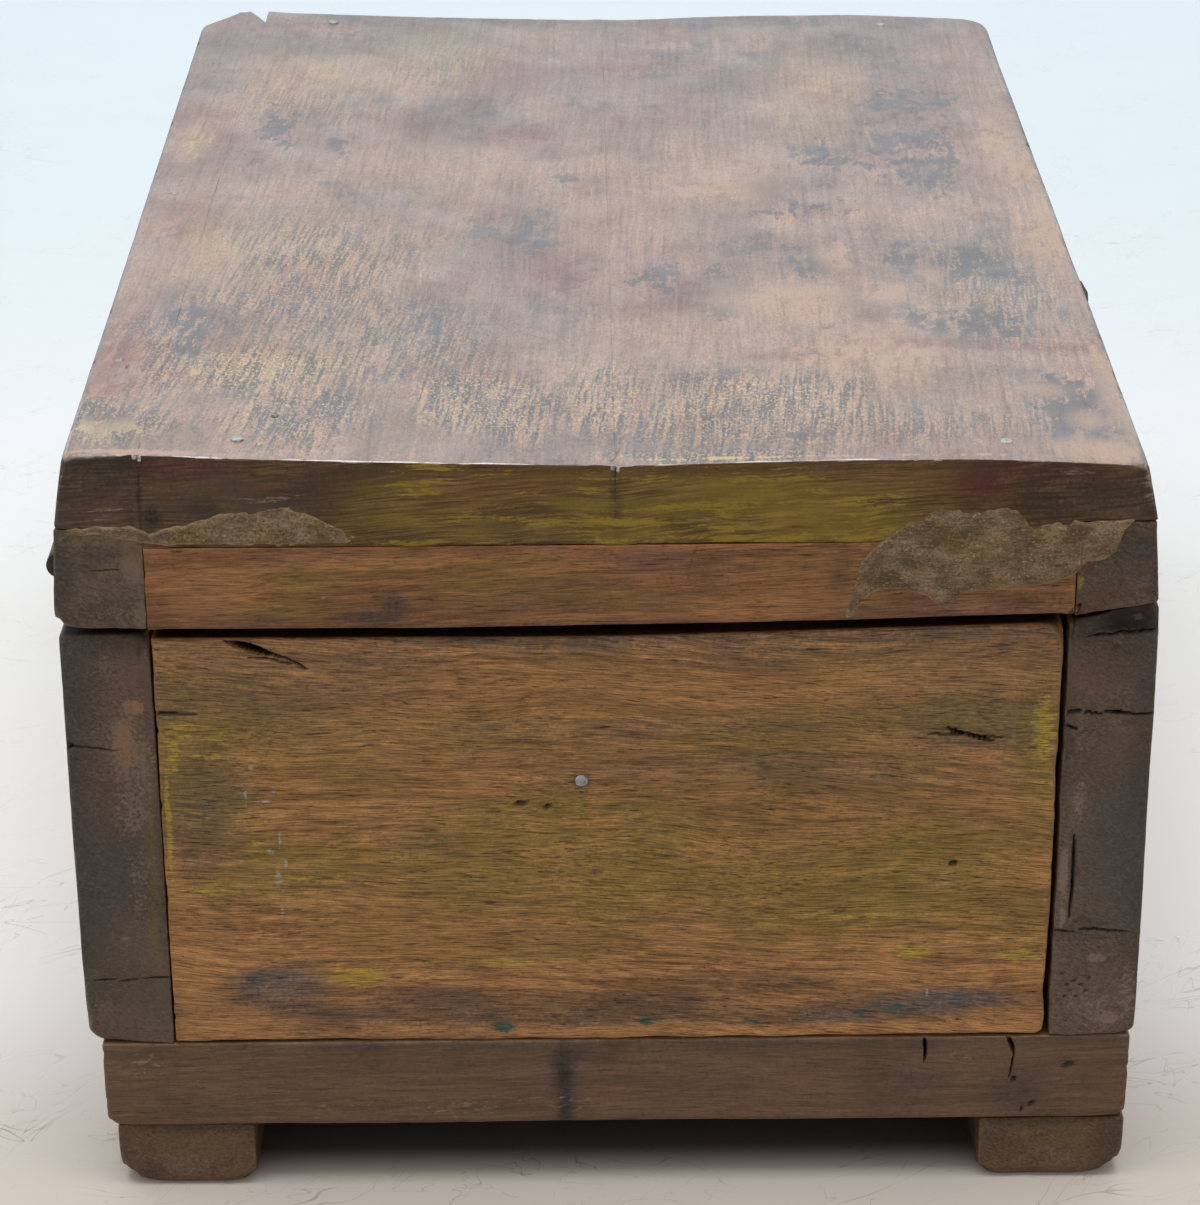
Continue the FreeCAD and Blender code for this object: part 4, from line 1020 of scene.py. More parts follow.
class CANDLEBOX_OT_base(bpy.types.Operator):
    """Makes the bottom board and the two runners, with pitted, rounded ends."""
    bl_idname = "candlebox.base"
    bl_label = "Bottom and Runners"

    def execute(self, context):
        shades = colours()
        board = Board(
            "bottom_board", (1.5, 2.6, 0.8), 180,
            worn=(((-1, 0, -1), 3.0, 1.2), ((1, 0, -1), 3.0, 0.8), ((0, -1, -1), 2.0, 0.4)),
            fine=(((60.2, 1.0, 0.25), (76.8, 1.9, 0.25)), (), ()))
        board.weather(ALONG_X)
        board.crack("near",
            (60.0, 33.5, 60.4, 26.8, 0.6), (75.6, 33.5, 77.6, 28.4, 0.7, 1.0, 0.35, 3),
            (77.7, 28.8, 76.6, 23.0, 0.35, 0.6, 0.35, 4))
        holes = ((77.5, 22.5), (81, 17), (84, 23.6), (79.4, 16), (88, 26))
        board.worm_holes("near", holes, 1.0, 0.0, 0.8, 0.6, 0.1, 30)
        board.lay("wash", "near", shades.soot, (
            (-9, 23, 2.0, 11, 1.0), (-8.8, 22, 1.8, 11, 1.0), (-8.2, 29.4, 2.6, 1.6, 0.9),
            (57, 22, 8, 4.5, 0.4), (77, 20, 6, 6, 0.4), (0, 31.6, 110, 1.2, 0.4), (60, 31, 3, 2, 0.5)))
        board.lay("wash", "near", scaled(shades.soot, 0.45), ((-9, 22, 1.5, 10, 0.9),))
        board.lay("wash", "near", shades.worn_red, ((20, 20, 30, 4, 0.3), (-60, 24, 24, 4, 0.25)))
        board.lay("paint", "near", scaled(shades.tan, 0.42), (
            (-30, 18, 40, 3, 0.4), (68, 29, 5, 3, 0.45), (-90, 28, 8, 3, 0.4)))
        board.finish("box", "base_wood", finish_named("base"), "up")
        self.runner("hinge_side_runner", -1, 200)
        self.runner("front_side_runner", 1, 220)
        return {"FINISHED"}

    def runner(self, node, side, seed):
        """Foot along one side. The front one's top sinks by a random line along X."""
        outer = ((side, 0, -1), 5.0, 4.6)
        inner = ((-side, 0, -1), 3.0, 2.2)
        ends = [((0, end, -1), 3.0, 2.0) for end in (-1, 1)]
        board = Board(node, (0.9, 3.0, 0.8), seed, worn=(outer, inner, *ends), hold=((2, -1),))
        x, _, z = board.xyz()
        board.move(2, -(0.25 + 0.25 * wander(x, 7.0, seed)) * eased(z, 9, 13.8) * (side > 0))
        board.weather(ALONG_Y)
        board.lay("wash", "near", colours().soot, (
            (side * 97, 6, 3, 6, 0.5), (side * 80, 13, 14, 1.2, 0.5)))
        board.lay("paint", "near", scaled(colours().tan, 0.42), ((side * 84, 5, 9, 3, 0.46),))
        board.finish("box", "base_wood", finish_named("runner"))


class CANDLEBOX_OT_divider(bpy.types.Operator):
    """Makes the upright divider between the two candle bays."""
    bl_idname = "candlebox.divider"
    bl_label = "Divider"

    def execute(self, context):
        worn = (((1, 0, 1), 2.0, 0.8), ((-1, 0, 1), 2.0, 0.8))
        board = Board("divider", (1.2, 2.8, 1.6), 240, worn)
        board.weather(ALONG_Y)
        board.finish("box", "inner_wood", finish_named("inner"))
        return {"FINISHED"}


class CANDLEBOX_OT_lid_rim(bpy.types.Operator):
    """Makes the four rails round the lid's rim, with a nick at the front corner."""
    bl_idname = "candlebox.lid_rim"
    bl_label = "Lid Rim"

    def execute(self, context):
        self.hinge_rail()
        self.front_rail()
        self.end_rail("lid_near_end_rail", "near", 300)
        self.end_rail("lid_far_end_rail", "far", 320)
        return {"FINISHED"}

    def hinge_rail(self):
        """Rail at the hinges. Its outer face leans in evenly with height, and its end is rough."""
        shades = colours()
        lean = 1.4
        board = Board(
            "lid_hinge_rail", (0.8, 2.6, 0.8), 260,
            worn=(((-1, 0, -1), 3.0, 1.9), ((-1, -1, -1), 4.0, 1.0), ((0, -1, 1), 2.0, -0.5),
                  ((1, 0, 0), 2.0, -1.2)),
            fine=((), (), ((132.5, 0.6, 0.2),)))
        board.move(0, lean * (1 - board.share[:, 0]) * board.share[:, 2])
        board.weather(ALONG_Y)
        board.move(1, 0.35 * cloud(board.at, 2.4, 262, 4) * board.facing["near"])
        board.crack("near", (-94.0, 131.6, -88.0, 132.2, 0.35, 0.16))
        board.lay("wash", "near", shades.soot, (
            (-99, 130, 4, 11, 0.7), (-90, 124, 6, 3, 0.4), (-93, 134, 6, 4, 0.4)))
        board.lay("paint", "near", scaled(shades.filler, 0.9), (
            (-86.4, 134, 3, 6, 0.72), (-90, 132, 4, 1.6, 0.62), (-92, 138, 7, 2, 0.7),
            (-85, 124, 1.6, 4, 0.6)))
        board.lay("paint", "near", scaled(shades.tan, 0.45), (
            (-86.5, 132, 1.5, 2.4, 0.55), (-90, 123, 5, 2.6, 0.42)))
        age_long_side(board, "hinge", 140, 3)
        board.finish("lid", "lid_rail_wood", finish_named("lid_side"), "front")

    def front_rail(self):
        """Rail at the front. Its underside rises evenly outwards, and its outer face leans in."""
        shades = colours()
        rise, lean = 2.2, 1.2
        board = Board(
            "lid_front_rail", (0.8, 2.6, 0.8), 280,
            worn=(((1, 0, -1), 2.0, 0.4), ((1, -1, 1), 4.0, 0.4), ((0, -1, 1), 2.0, -0.5),
                  ((-1, 0, 0), 2.0, -1.2)),
            fine=(((85, 1.5, 0.2),), (), ((122, 2, 0.2),)))
        board.move(2, rise * board.share[:, 0] * (1 - board.share[:, 2]))
        board.move(0, -lean * board.share[:, 0] * board.share[:, 2])
        board.weather(ALONG_Y)
        board.crack("near", (83.0, 119.8, 85.6, 123.6, 1.3, 1.2, 0.1))
        board.lay("wash", "near", shades.soot, (
            (95, 134, 6, 6, 0.65), (99.5, 130, 2.5, 10, 0.8), (88, 126, 4, 3, 0.35)))
        board.lay("wash", "near", scaled(shades.rail_brown, 0.55), (
            (88, 125, 6, 3.5, 0.65), (86, 130, 2.4, 6, 0.6), (94, 125.6, 6, 1.6, 0.5)))
        board.lay("paint", "near", shades.yellow, ((85.6, 128.6, 0.8, 2.4, 0.66),))
        age_long_side(board, "front", 140, 4)
        board.finish("lid", "lid_rail_wood", finish_named("lid_side"), "hinge")

    def end_rail(self, node, face, seed):
        """Rail across an end. Its underside is a line from left to right less a parabola."""
        shades = colours()
        left, sag, right = 0.6, 0.9, 2.0
        board = Board(
            node, (1.1, 1.6, 0.7), seed,
            worn=(((0, 0, -1), 1.0, 0.1), ((0, 0, 1), 2.0, -0.5), ((1, 0, 0), 2.0, -1.2),
                  ((-1, 0, 0), 2.0, -1.2)),
            fine=(((14.5, 1.6, 0.3), (83.6, 1.0, 0.2)), (), ()))
        across = board.share[:, 0]
        lift = left * (1 - across) + right * across - 4 * sag * across * (1 - across)
        board.move(2, lift * (1 - board.share[:, 2]))
        board.weather(ALONG_X)
        board.crack(face,
            (15.9, 136.0, 13.8, 130.0, 0.25, 0.1, 0.5), (14.6, 130.0, 12.4, 126.6, 0.2, 0.07, 0.4, 2),
            (82.4, 119.4, 85.2, 123.2, 1.3, 1.2, 0.1))
        board.lay("wash", face, shades.olive, (
            (-52, 131, 16, 3, 0.6), (-18, 130, 14, 4, 0.45), (-60, 124, 12, 2, 0.55),
            (-5, 126, 24, 3, 0.35), (34, 131, 10, 3, 0.25)))
        board.lay("wash", face, shades.soot, (
            (-39, 124, 2.6, 2.0, 0.9), (-44, 121.8, 6, 1.2, 0.8), (-70, 122, 10, 2, 0.45),
            (20, 132, 5, 2.4, 0.45), (56, 122.6, 10, 1.6, 0.6), (72, 123.6, 10, 2.4, 0.55),
            (0, 120.4, 80, 0.9, 0.5), (-10, 124, 24, 1.2, 0.4), (-76, 130, 4, 4, 0.4),
            (42, 126, 2, 6, 0.5)))
        board.lay("wash", face, scaled(shades.panel_brown, 1.2), (
            (-72, 128, 9, 5, 0.6), (-46, 133, 20, 1.5, 0.4), (30, 124, 22, 3, 0.4),
            (64, 124, 5, 2, 0.5)))
        board.lay("wash", face, scaled(shades.red, 0.45), (
            (8, 133, 7, 2, 0.6), (-56, 134, 8, 1.5, 0.4), (66, 123, 10, 1.6, 0.5),
            (80, 125, 4, 2, 0.5)))
        board.lay("wash", face, scaled(shades.rail_brown, 0.4), (
            (76, 125.4, 9, 1.8, 0.75), (54, 125.6, 8, 1.2, 0.7), (62, 121.6, 22, 0.8, 0.4)))
        board.lay("paint", face, scaled(shades.nail_grey, 0.8), (
            (-51.2, 126.4, 0.9, 0.5, 0.75), (-60, 122.9, 0.5, 0.4, 0.6), (-68, 122.4, 0.3, 0.4, 0.6)))
        board.finish("lid", "lid_end_rail_wood", finish_named("rail"))


# How far the boards of the lid's top reach into their seams, so that no light falls through
SEAM_LAP = (0.17, 0, 0)
NO_LAP = (0, 0, 0)

# Where along Y the far corners of the lid's top begin to give way, and over what length
FAR_PART = (120, 34)


class CANDLEBOX_OT_lid_top(bpy.types.Operator):
    """Makes the three boards of the lid's top, with a broken corner and a notch at the far end."""
    bl_idname = "candlebox.lid_top"
    bl_label = "Lid Top"

    def execute(self, context):
        self.strip()
        self.left_board()
        self.right_board()
        return {"FINISHED"}

    def strip(self):
        """Narrow board at the hinges, with nail holes.

        Its outer face leans in evenly with height and splays evenly towards the near end. The
        far outer corner is broken off along a slant, and the far inner one by the cube of the
        distance across.
        """
        lean, splay, lower, chip, notch = 2.4, 2.4, 0.36, 16.0, 4.6
        board = Board(
            "lid_edge_strip", (0.8, 1.8, 0.8), 340,
            worn=(((-1, 0, 1), 3.0, 0.9), ((-1, -1, 1), 4.0, 1.0), ((-1, 0, 0), 1.0, 0.2),
                  ((1, 0, 0), 3.0, -1.2)),
            fine=(((-92.5, 1.5, 0.3),), ((-104.7, 1.5, 0.3), (0, 1.5, 0.3), (104.7, 1.5, 0.3)), ()),
            grow=(NO_LAP, SEAM_LAP), hold=((0, 1),))
        x, y, _ = board.xyz()
        across, along, up = board.share.T
        board.move(0, (1 - across) * (lean * up + splay * (1 - along)))
        board.move(2, -lower * up)
        far = eased(y, 130, 154)
        board.move(1, -chip * (1 - ramp(x, -101, 11)) * ramp(y, *FAR_PART))
        board.move(0, -notch * across ** 3 * ramp(y, 143, 11) * far)
        for nail_y in (-104.7, 0, 104.7):
            board.crack("up", (-93.4, nail_y, -91.7, nail_y, 1.7, 0.32, 0.0))
        self.wear_and_paint(board)

    def left_board(self):
        """Board whose upper face falls across it by a line plus a parabola."""
        board = Board(
            "lid_left_board", (1.3, 2.0, 0.8), 360,
            worn=(((-1, 0, 0), 3.0, -1.2), ((1, 0, 0), 3.0, -1.2), ((0, -1, 1), 2.0, -0.45)),
            fine=(((0.5, 2, 0.4), (-60.9, 1, 0.3)), ((-151, 4, 0.4), (-132.6, 1, 0.3)), ()),
            grow=(SEAM_LAP, SEAM_LAP), hold=((0, -1), (0, 1)))
        across, _, up = board.share.T
        fall, crown = 2.7, 1.6
        board.move(2, -(fall * across + crown * across * (1 - across)) * up)
        self.wear_and_paint(board)

    def right_board(self):
        """Board at the front.

        Its underside is cut away beside the front rail. Its outer face leans in with the fourth
        power of the distance across and splays towards the near end, and the far corner is
        rounded by a circle's arc.
        """
        width, lean, splay, step, round_corner = 99.8, 2.2, 2.4, 3.8, 8.0
        board = Board(
            "lid_right_board", (1.3, 2.0, 0.8), 380,
            worn=(((1, 0, 1), 3.0, 1.0), ((1, -1, 1), 4.0, 0.8), ((-1, 0, 0), 3.0, -1.2),
                  ((0, -1, 1), 2.0, -0.45)),
            fine=(((1.8, 2, 0.4), (84.6, 0.6, 0.2)), ((-151, 4, 0.4),), ()),
            grow=(SEAM_LAP, NO_LAP), hold=((0, -1),))
        x, y, _ = board.xyz()
        across, along, up = board.share.T
        board.move(2, step * eased(x, 84.45, 84.75) * (1 - up))
        board.move(2, (0.65 * eased(x, 0, 45) - 0.4 - 1.6 * eased(x, 60, 110)) * up)
        board.move(0, -across ** 4 * (lean * up + splay * (1 - along)))
        beyond = ramp(across * width, width - round_corner, round_corner)
        cut = round_corner * (1 - np.sqrt(1 - 0.98 * beyond ** 2))
        board.move(1, -cut * ramp(y, *FAR_PART))
        self.wear_and_paint(board)

    def wear_and_paint(self, board):
        """Waves that run across all three boards, chips in the near edge, cracks and paint."""
        x, y, _ = board.xyz()
        strip_seam, middle_seam, seam_reach = -83.9, 1.2, 0.8
        seam = np.minimum(abs(x - strip_seam), abs(x - middle_seam)) < seam_reach
        board.facing["up"] = np.maximum(board.facing["up"], seam * eased(board.share[:, 2], 0.90, 0.97))
        board.weather(ALONG_Y, 341)
        chip = np.exp(-((x - 1.6) / 0.9) ** 2 - ((y + 153) / 2.4) ** 2)
        notches = eased(wander(x, 3.0, 345), 0.35, 0.9) * np.exp(-((y + 154) / 0.8) ** 2)
        board.move(2, -(0.15 * chip + 0.30 * notches) * board.share[:, 2])
        board.crack("up",
            (0.4, -152.5, 2.2, -146.5, 0.5, 0.14, 0.9, 1), (37, -85.0, 53, -81.5, 1.0, 0.16, 0.7, 2),
            (-61.5, -132.6, -60.3, -132.6, 1.8, 0.9, 0.0, 3),
            (-91.0, -108.1, -90.2, -108.1, 1.0, 0.7, 0.0, 4))
        self.paint_top(board)
        for face in ("near", "far"):
            self.paint_end(board, face)
        side = "hinge" if board.node == "lid_edge_strip" else "front"
        if board.node != "lid_left_board":
            age_long_side(board, side, 150, 5)
        board.finish("lid", "lid_top_wood", finish_named("lid"), "down")

    def paint_top(self, board):
        """Paint left on the upper face, and a painted highlight along its near edge."""
        shades = colours()
        board.lay("wash", "up", shades.lid_slate, (
            (-33, 68, 9, 24, 0.6), (-19, 60, 10, 12, 0.5), (-50, 128, 34, 14, 0.55),
            (-15, -25, 7, 14, 0.6), (60, 118, 14, 22, 0.5), (0, 150, 100, 9, 0.7),
            (0, 115, 120, 40, 0.22), (-33, -83, 11, 22, 0.55), (4, -143, 16, 7, 0.45),
            (-90, 120, 9, 20, 0.55), (26, 96, 10, 16, 0.5), (34, 10, 18, 16, 0.4),
            (-82, -87, 8, 20, 0.4)))
        board.lay("wash", "up", shades.lid_tan, (
            (-32, 19, 18, 22, 0.55), (6, -16, 14, 18, 0.65), (22, 17, 18, 22, 0.75),
            (47, -104, 18, 18, 0.75), (94, -24, 7, 34, 0.8), (-58, -30, 16, 24, 0.55),
            (38, -68, 16, 18, 0.7), (-73, 81, 12, 14, 0.55), (91, 40, 8, 36, 0.75),
            (88, -148, 10, 7, 0.8), (20, -84, 20, 12, 0.4)))
        board.lay("wash", "up", shades.lid_red, (
            (-92, -106, 7, 30, 0.85), (-79, -83, 7, 10, 0.5), (-62, -66, 9, 16, 0.55),
            (-20, 98, 8, 14, 0.75), (6, 106, 8, 14, 0.6), (-17, 44, 10, 10, 0.6),
            (-25, -108, 12, 4, 0.55), (76, -93, 24, 3.2, 0.85), (34, -99, 9, 2.5, 0.6),
            (-7, -38, 9, 20, 0.5), (12, -56, 9, 22, 0.5), (20, -137, 30, 5, 0.45),
            (-86, -26, 7, 26, 0.5), (-93, 143, 7, 10, 0.7), (24, -118, 6, 4, 0.5),
            (-40, 61, 12, 9, 0.4)))
        board.lay("wash", "up", shades.ochre, (
            (-79, -36, 10, 20, 0.35), (-63, -108, 15, 12, 0.45), (-66, 100, 20, 14, 0.35),
            (-39, 113, 13, 20, 0.4), (50, 82, 10, 34, 0.35), (-93, 39, 4, 12, 0.5)))
        board.lay("paint", "up", shades.lid_slate, (
            (79, -45, 12, 20, 0.58), (72, -79, 14, 15, 0.58), (85, -124, 11, 22, 0.6),
            (72, 19, 11, 16, 0.6), (53, 26, 8, 9, 0.58), (43, -9, 14, 9, 0.52), (24, -60, 6, 22, 0.56),
            (41, -42, 6, 18, 0.55), (63, -41, 5, 13, 0.56), (-82, -87, 8, 20, 0.56),
            (-35, -84, 10, 22, 0.42), (-15, -25, 6, 13, 0.55), (-74, 51, 8, 19, 0.56),
            (-59, 38, 4, 11, 0.55), (-8, 18, 4, 5, 0.62), (49, 34, 7, 11, 0.52),
            (72, 72, 15, 17, 0.56), (71, 32, 12, 26, 0.58), (37, 9, 7, 8, 0.5), (36, -142, 5, 3, 0.58),
            (-54, 3, 7, 1.5, 0.58), (-90, -136, 5, 9, 0.6), (12, -52, 8, 20, 0.46),
            (50, -66, 3, 18, 0.4)))
        board.lay("paint", "up", shades.lid_tan, (
            (38, -68, 14, 9, 0.66), (48, -39, 5, 11, 0.64), (58, -63, 4, 9, 0.66),
            (67, -52, 3, 6, 0.56), (50, -98, 16, 15, 0.52), (26, -64, 6, 10, 0.46),
            (-84, -152.5, 18, 1.4, 0.75), (-98, -146, 2, 8, 0.6), (60, -152, 30, 1.0, 0.5),
            (95, -20, 6, 28, 0.6), (92, 38, 7, 34, 0.56), (24, 16, 16, 14, 0.5), (89, -147, 8, 5, 0.7),
            (80, -118, 5, 4, 0.52), (88, -132, 3, 4, 0.6), (95, -112, 3, 26, 0.58)))
        board.lay("paint", "up", shades.ochre, (
            (-72, -111, 5, 5, 0.38), (-88, -143, 4, 5, 0.4), (-94, -141, 2, 4, 0.5),
            (20, -151.5, 16, 1.0, 0.6), (-78, -110, 2, 3, 0.5), (-62, -145, 3, 2, 0.4)))
        board.fleck("up", (
            (-59, -53, 20, 42, 0.6), (-65, -108, 17, 15, 0.95), (-85, -92, 7, 14, 0.72),
            (-66, 70, 22, 16, 0.35), (-36, 110, 16, 22, 0.3), (-24, -124, 14, 18, 0.95),
            (-1, -121, 8, 18, 0.9), (28, -118, 18, 12, 0.95), (30, -133, 30, 12, 0.8),
            (-59, -130, 12, 16, 0.8), (20, -150, 22, 3, 0.8), (-87, -138, 10, 10, 0.85),
            (-40, -90, 24, 22, 0.5), (80, -60, 14, 36, 0.45), (60, -136, 20, 10, 0.5),
            (84, -125, 12, 16, 0.35), (-91, -138, 8, 12, 0.95), (-84, -112, 6, 12, 0.7)))
        # Painted highlight: a broken pale line along the near top edge, where light glints off the
        # rounded arris. worn is the band along that edge.
        x, y, _ = board.xyz()
        reach = 0.30 + 0.45 * eased(wander(x, 9.0, 347), -0.2, 0.5) + 0.10 * wander(x, 1.0, 348)
        worn = np.exp(-((np.clip(y + 154.3, 0, 9) / reach) ** 4))
        patchy = 0.62 + 0.6 * eased(wander(x, 2.6, 346), -0.55, 0.0)
        arris = eased(board.facing["up"], 0.10, 0.45) * (board.share[:, 2] > 0.8)
        share = arris * worn * patchy * eased(x, -102, -80) * (1 - eased(x, 62, 92))
        board.spread("paint", (0.85, 0.85, 0.87), np.clip(share, 0, 1))

    def paint_end(self, board, face):
        """Olive and yellow paint on the ends, which darkens towards both sides."""
        shades = colours()
        x, _, z = board.xyz()
        shown = board.shown(face)
        middle = eased(x, -64, -30) * (1 - eased(x, 44, 72))
        brush = eased(cloud(board.at, (22, 22, 2.4), 71, 5), -0.30, 0.35)
        board.spread("wash", shades.olive, shown * middle * (0.20 + 0.70 * brush))
        rich = eased(cloud(board.at, (18, 18, 5), 74, 5), 0.0, 0.5)
        board.spread("wash", shades.yellow, shown * middle * 0.55 * rich)
        low = 1 - eased(z, 139, 147)
        streaks = eased(cloud(board.at, (12, 12, 1.2), 72, 5), -0.05, 0.45)
        spots = eased(cloud(board.at, (16, 16, 5), 73, 4), -0.15, 0.4)
        thick = 0.24 + 0.36 * streaks + 0.20 * spots * low
        board.spread("paint", scaled(shades.yellow, 0.85), shown * middle * thick)
        board.lay("wash", face, scaled(shades.panel_brown, 0.62), (
            (-66, 148, 18, 3, 0.6), (0, 150.4, 60, 1.5, 0.7), (60, 149, 18, 2, 0.6),
            (-20, 146, 14, 2, 0.4)))
        board.lay("wash", face, scaled(shades.lid_end, 0.45), (
            (-66, 147, 20, 9, 0.7), (84, 146, 22, 9, 0.75), (-92, 144, 9, 8, 0.55),
            (0, 151, 44, 1.6, 0.6), (-56, 150, 10, 3, 0.6), (-38, 138, 6, 2, 0.4)))
        board.lay("wash", face, scaled(shades.grime, 1.1), (
            (-92, 144, 11, 8, 0.5), (-68, 146, 14, 7, 0.35), (96, 145, 8, 8, 0.3)))
        board.lay("wash", face, shades.soot, (
            (-97, 150, 7, 6, 1.0), (-90, 152, 11, 3.4, 1.0), (-92, 150, 9, 5, 0.9),
            (-72, 144, 3, 2, 0.6), (-47, 151, 11, 2.5, 0.5), (-54, 146, 6, 5, 0.4),
            (98, 146, 4, 9, 0.75), (88, 145, 5, 5, 0.7), (82, 146, 9, 6, 0.55),
            (1.4, 146, 0.9, 6, 0.5), (-86, 147, 1.0, 8, 0.6), (-81, 141.5, 1.2, 1.6, 0.8),
            (60, 151, 26, 1.0, 0.4), (0, 136.6, 80, 0.5, 0.5)))
        board.lay("wash", face, shades.wine, (
            (-75, 151.6, 8, 1.8, 0.75), (67, 148, 5, 3, 0.7), (74, 149.5, 6, 2, 0.5),
            (84, 149, 8, 2, 0.3), (-90, 144, 5, 3, 0.3)))
        board.lay("wash", face, scaled(shades.soot, 0.7), (
            (-82.2, 141.6, 1.3, 2.6, 0.95), (-83.9, 146, 0.5, 7, 0.9), (-16, 143, 6, 1.4, 0.35)))
        board.lay("paint", face, scaled(shades.tan, 0.45), (
            (97, 147, 1.8, 5, 0.55), (-90, 143, 4, 2, 0.42), (84, 149.4, 5, 0.7, 0.5),
            (-62, 146, 8, 1.2, 0.42)))


def crust(name, low, high, seed, thickness, y_face):
    """Thin closed crust of filler on the near end of the lid.

    Along X it lies between a lower and an upper outline, each a line through the given places
    that also wanders at random. Its thickness is a flat mound, one less the sixth power of the
    distance from the middle to the outline, with lumps and grains at random.
    """
    low, high = np.array(low), np.array(high)
    columns, rows = 190, 64
    places = [
        np.linspace(low[0, 0], low[-1, 0], columns), np.array([0.0, 1.0]), np.linspace(0, 1, rows)]
    points, quads = block_skin(places)
    x, back, rise = points.T
    bottom = np.interp(x, low[:, 0], low[:, 1]) + 0.28 * wander(x, 2.2, seed)
    top = np.interp(x, high[:, 0], high[:, 1]) + 0.34 * wander(x, 2.0, seed + 1)
    top = np.maximum(top, bottom + 0.1)
    z = bottom + (top - bottom) * rise
    place = np.stack([x, 0 * x, z], axis=1)
    along = (x - x.min()) / (x.max() - x.min())
    mound = (1 - abs(2 * rise - 1) ** 6) * (1 - abs(2 * along - 1) ** 12)
    lumps = 0.66 + 0.42 * cloud(place, 4.0, seed + 2, 4) + 0.20 * cloud(place, 1.0, seed + 3, 2)
    y = np.where(back > 0.5, y_face + 0.5, y_face + 0.15 - thickness * mound * lumps)
    piece = mesh_object(name, np.stack([x, y, z], axis=1), quads, finish_named("filler"))
    rim = eased(np.exp(-((1 - abs(2 * rise - 1)) * (top - bottom) / 1.4)), 0.25, 0.9)
    store(piece, "wear", np.stack([rim] * 4, axis=1))
    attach(piece, "lid")


class CANDLEBOX_OT_filler(bpy.types.Operator):
    """Makes the two crusts of old filler on the lid's near end."""
    bl_idname = "candlebox.filler"
    bl_label = "Filler"

    def execute(self, context):
        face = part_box("lid_left_board")[0][1] / MM
        crust(
            "front_filler",
            ((42.6, 121.0), (44.4, 121.8), (46.0, 124.8), (48.4, 126.3), (52.9, 126.9), (57.5, 125.4),
             (60.2, 123.4), (61.6, 122.6), (62.6, 124.2), (64, 126.2), (70, 126.5), (77, 127.3),
             (82, 128.3), (84.4, 129.6), (86.3, 132.0), (89.6, 132.4), (91.6, 134.0),
             (92.8, 138.2), (94.6, 139.9)),
            ((42.6, 121.6), (44.2, 126.6), (45.2, 132.0), (47.2, 134.6), (50, 137.4), (54.2, 140.4),
             (59.5, 143.2), (64, 142.3), (70.5, 143.3), (74, 142.0), (76.5, 139.4), (80.4, 140.5),
             (85.6, 139.8), (90.5, 139.9), (94.6, 140.4)),
            400, 0.95, face)
        crust(
            "hinge_side_filler",
            ((-98, 139.2), (-90, 138.6), (-84, 137.2), (-80, 136.7), (-73.5, 136.8), (-66, 136.6),
             (-55.5, 136.5), (-48, 136.9), (-44.6, 137.3)),
            ((-98, 139.8), (-92, 140.6), (-86, 140.4), (-82.4, 139.2), (-76.9, 140.6), (-69.6, 142.9),
             (-64.2, 143.3), (-58.8, 144.3), (-53.5, 142.8), (-48.2, 139.9), (-44.6, 137.6)),
            410, 0.6, face)
        return {"FINISHED"}


# Radius of a small nail's head, and how far from its middle its points lie at most
HEAD_RADIUS, NAIL_REACH = 1.16, 2.6

# Where the lid's narrow strip ends. Past it the lid's top has worn down round its nails.
STRIP_EDGE = -84


class CANDLEBOX_OT_ironwork(bpy.types.Operator):
    """Gives the hinges, the hook and all nails their iron, and the small nails hammered heads."""
    bl_idname = "candlebox.ironwork"
    bl_label = "Ironwork"

    def execute(self, context):
        for node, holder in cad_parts.items():
            kind = next((iron for word, iron in IRON_WORDS if word in node), None)
            if kind:
                for slot in holder.material_slots:
                    slot.material = finish_named(kind)
        for node, body, axis, sides in NAILED:
            self.heads(node, body, axis, sides)
        return {"FINISHED"}

    def heads(self, node, body, axis, sides):
        """Flat domes over the heads of a node's nails.

        A square grid is drawn into a disc: each coordinate times the root of one less half the
        other's square. The dome's height is one less the fourth power of the distance from its
        middle, with dents at random, over a short upright rim. A nail's place across its axis
        is the mean of the points that lie round it.
        """
        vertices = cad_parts[node].data.vertices
        corners = np.empty(len(vertices) * 3)
        vertices.foreach_get("co", corners)
        corners = np.unique(np.round(corners.reshape(-1, 3) / MM, 3), axis=0)
        across = [number for number in range(3) if number != axis]
        flat = corners[:, across]
        near = np.hypot(*(flat[:, None] - flat[None]).transpose(2, 0, 1)) < NAIL_REACH
        middles = np.round(near @ flat / near.sum(axis=1)[:, None], 1)
        grid = np.linspace(-1, 1, 15)
        points, quads = block_skin([grid, grid, np.array([0.0, 1.0])])
        u, v, upper = points.T
        disc_u, disc_v = u * np.sqrt(1 - v * v / 2), v * np.sqrt(1 - u * u / 2)
        off = np.hypot(disc_u, disc_v)
        skins, faces = [], []
        for middle in np.unique(middles, axis=0):
            own = np.all(middles == middle, axis=1)
            for side in sides:
                surface = (corners[own, axis] * side).max()
                seed = 500 + len(skins)
                place = np.stack([disc_u, disc_v, 0 * u], axis=1)
                dents = cloud(place, 0.6, seed, 3)
                radius = HEAD_RADIUS * (1 + 0.07 * cloud(place, 0.9, seed + 40, 2))
                skin = np.empty((len(u), 3))
                skin[:, across[0]] = middle[0] + radius * disc_u
                skin[:, across[1]] = middle[1] + radius * disc_v
                proud = 0.40 if axis == 2 and side > 0 and middle[0] > STRIP_EDGE else 0.10
                rise = proud + 0.20 * (1 - off ** 4) + 0.07 * dents
                skin[:, axis] = side * (surface + np.where(upper > 0.5, rise, -0.2))
                turned = side * (1 if axis != 1 else -1) < 0
                faces.append((quads[:, ::-1] if turned else quads) + len(u) * len(skins))
                skins.append(skin)
        piece = mesh_object(
            node + "_heads", np.concatenate(skins), np.concatenate(faces), finish_named("nail"))
        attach(piece, body)


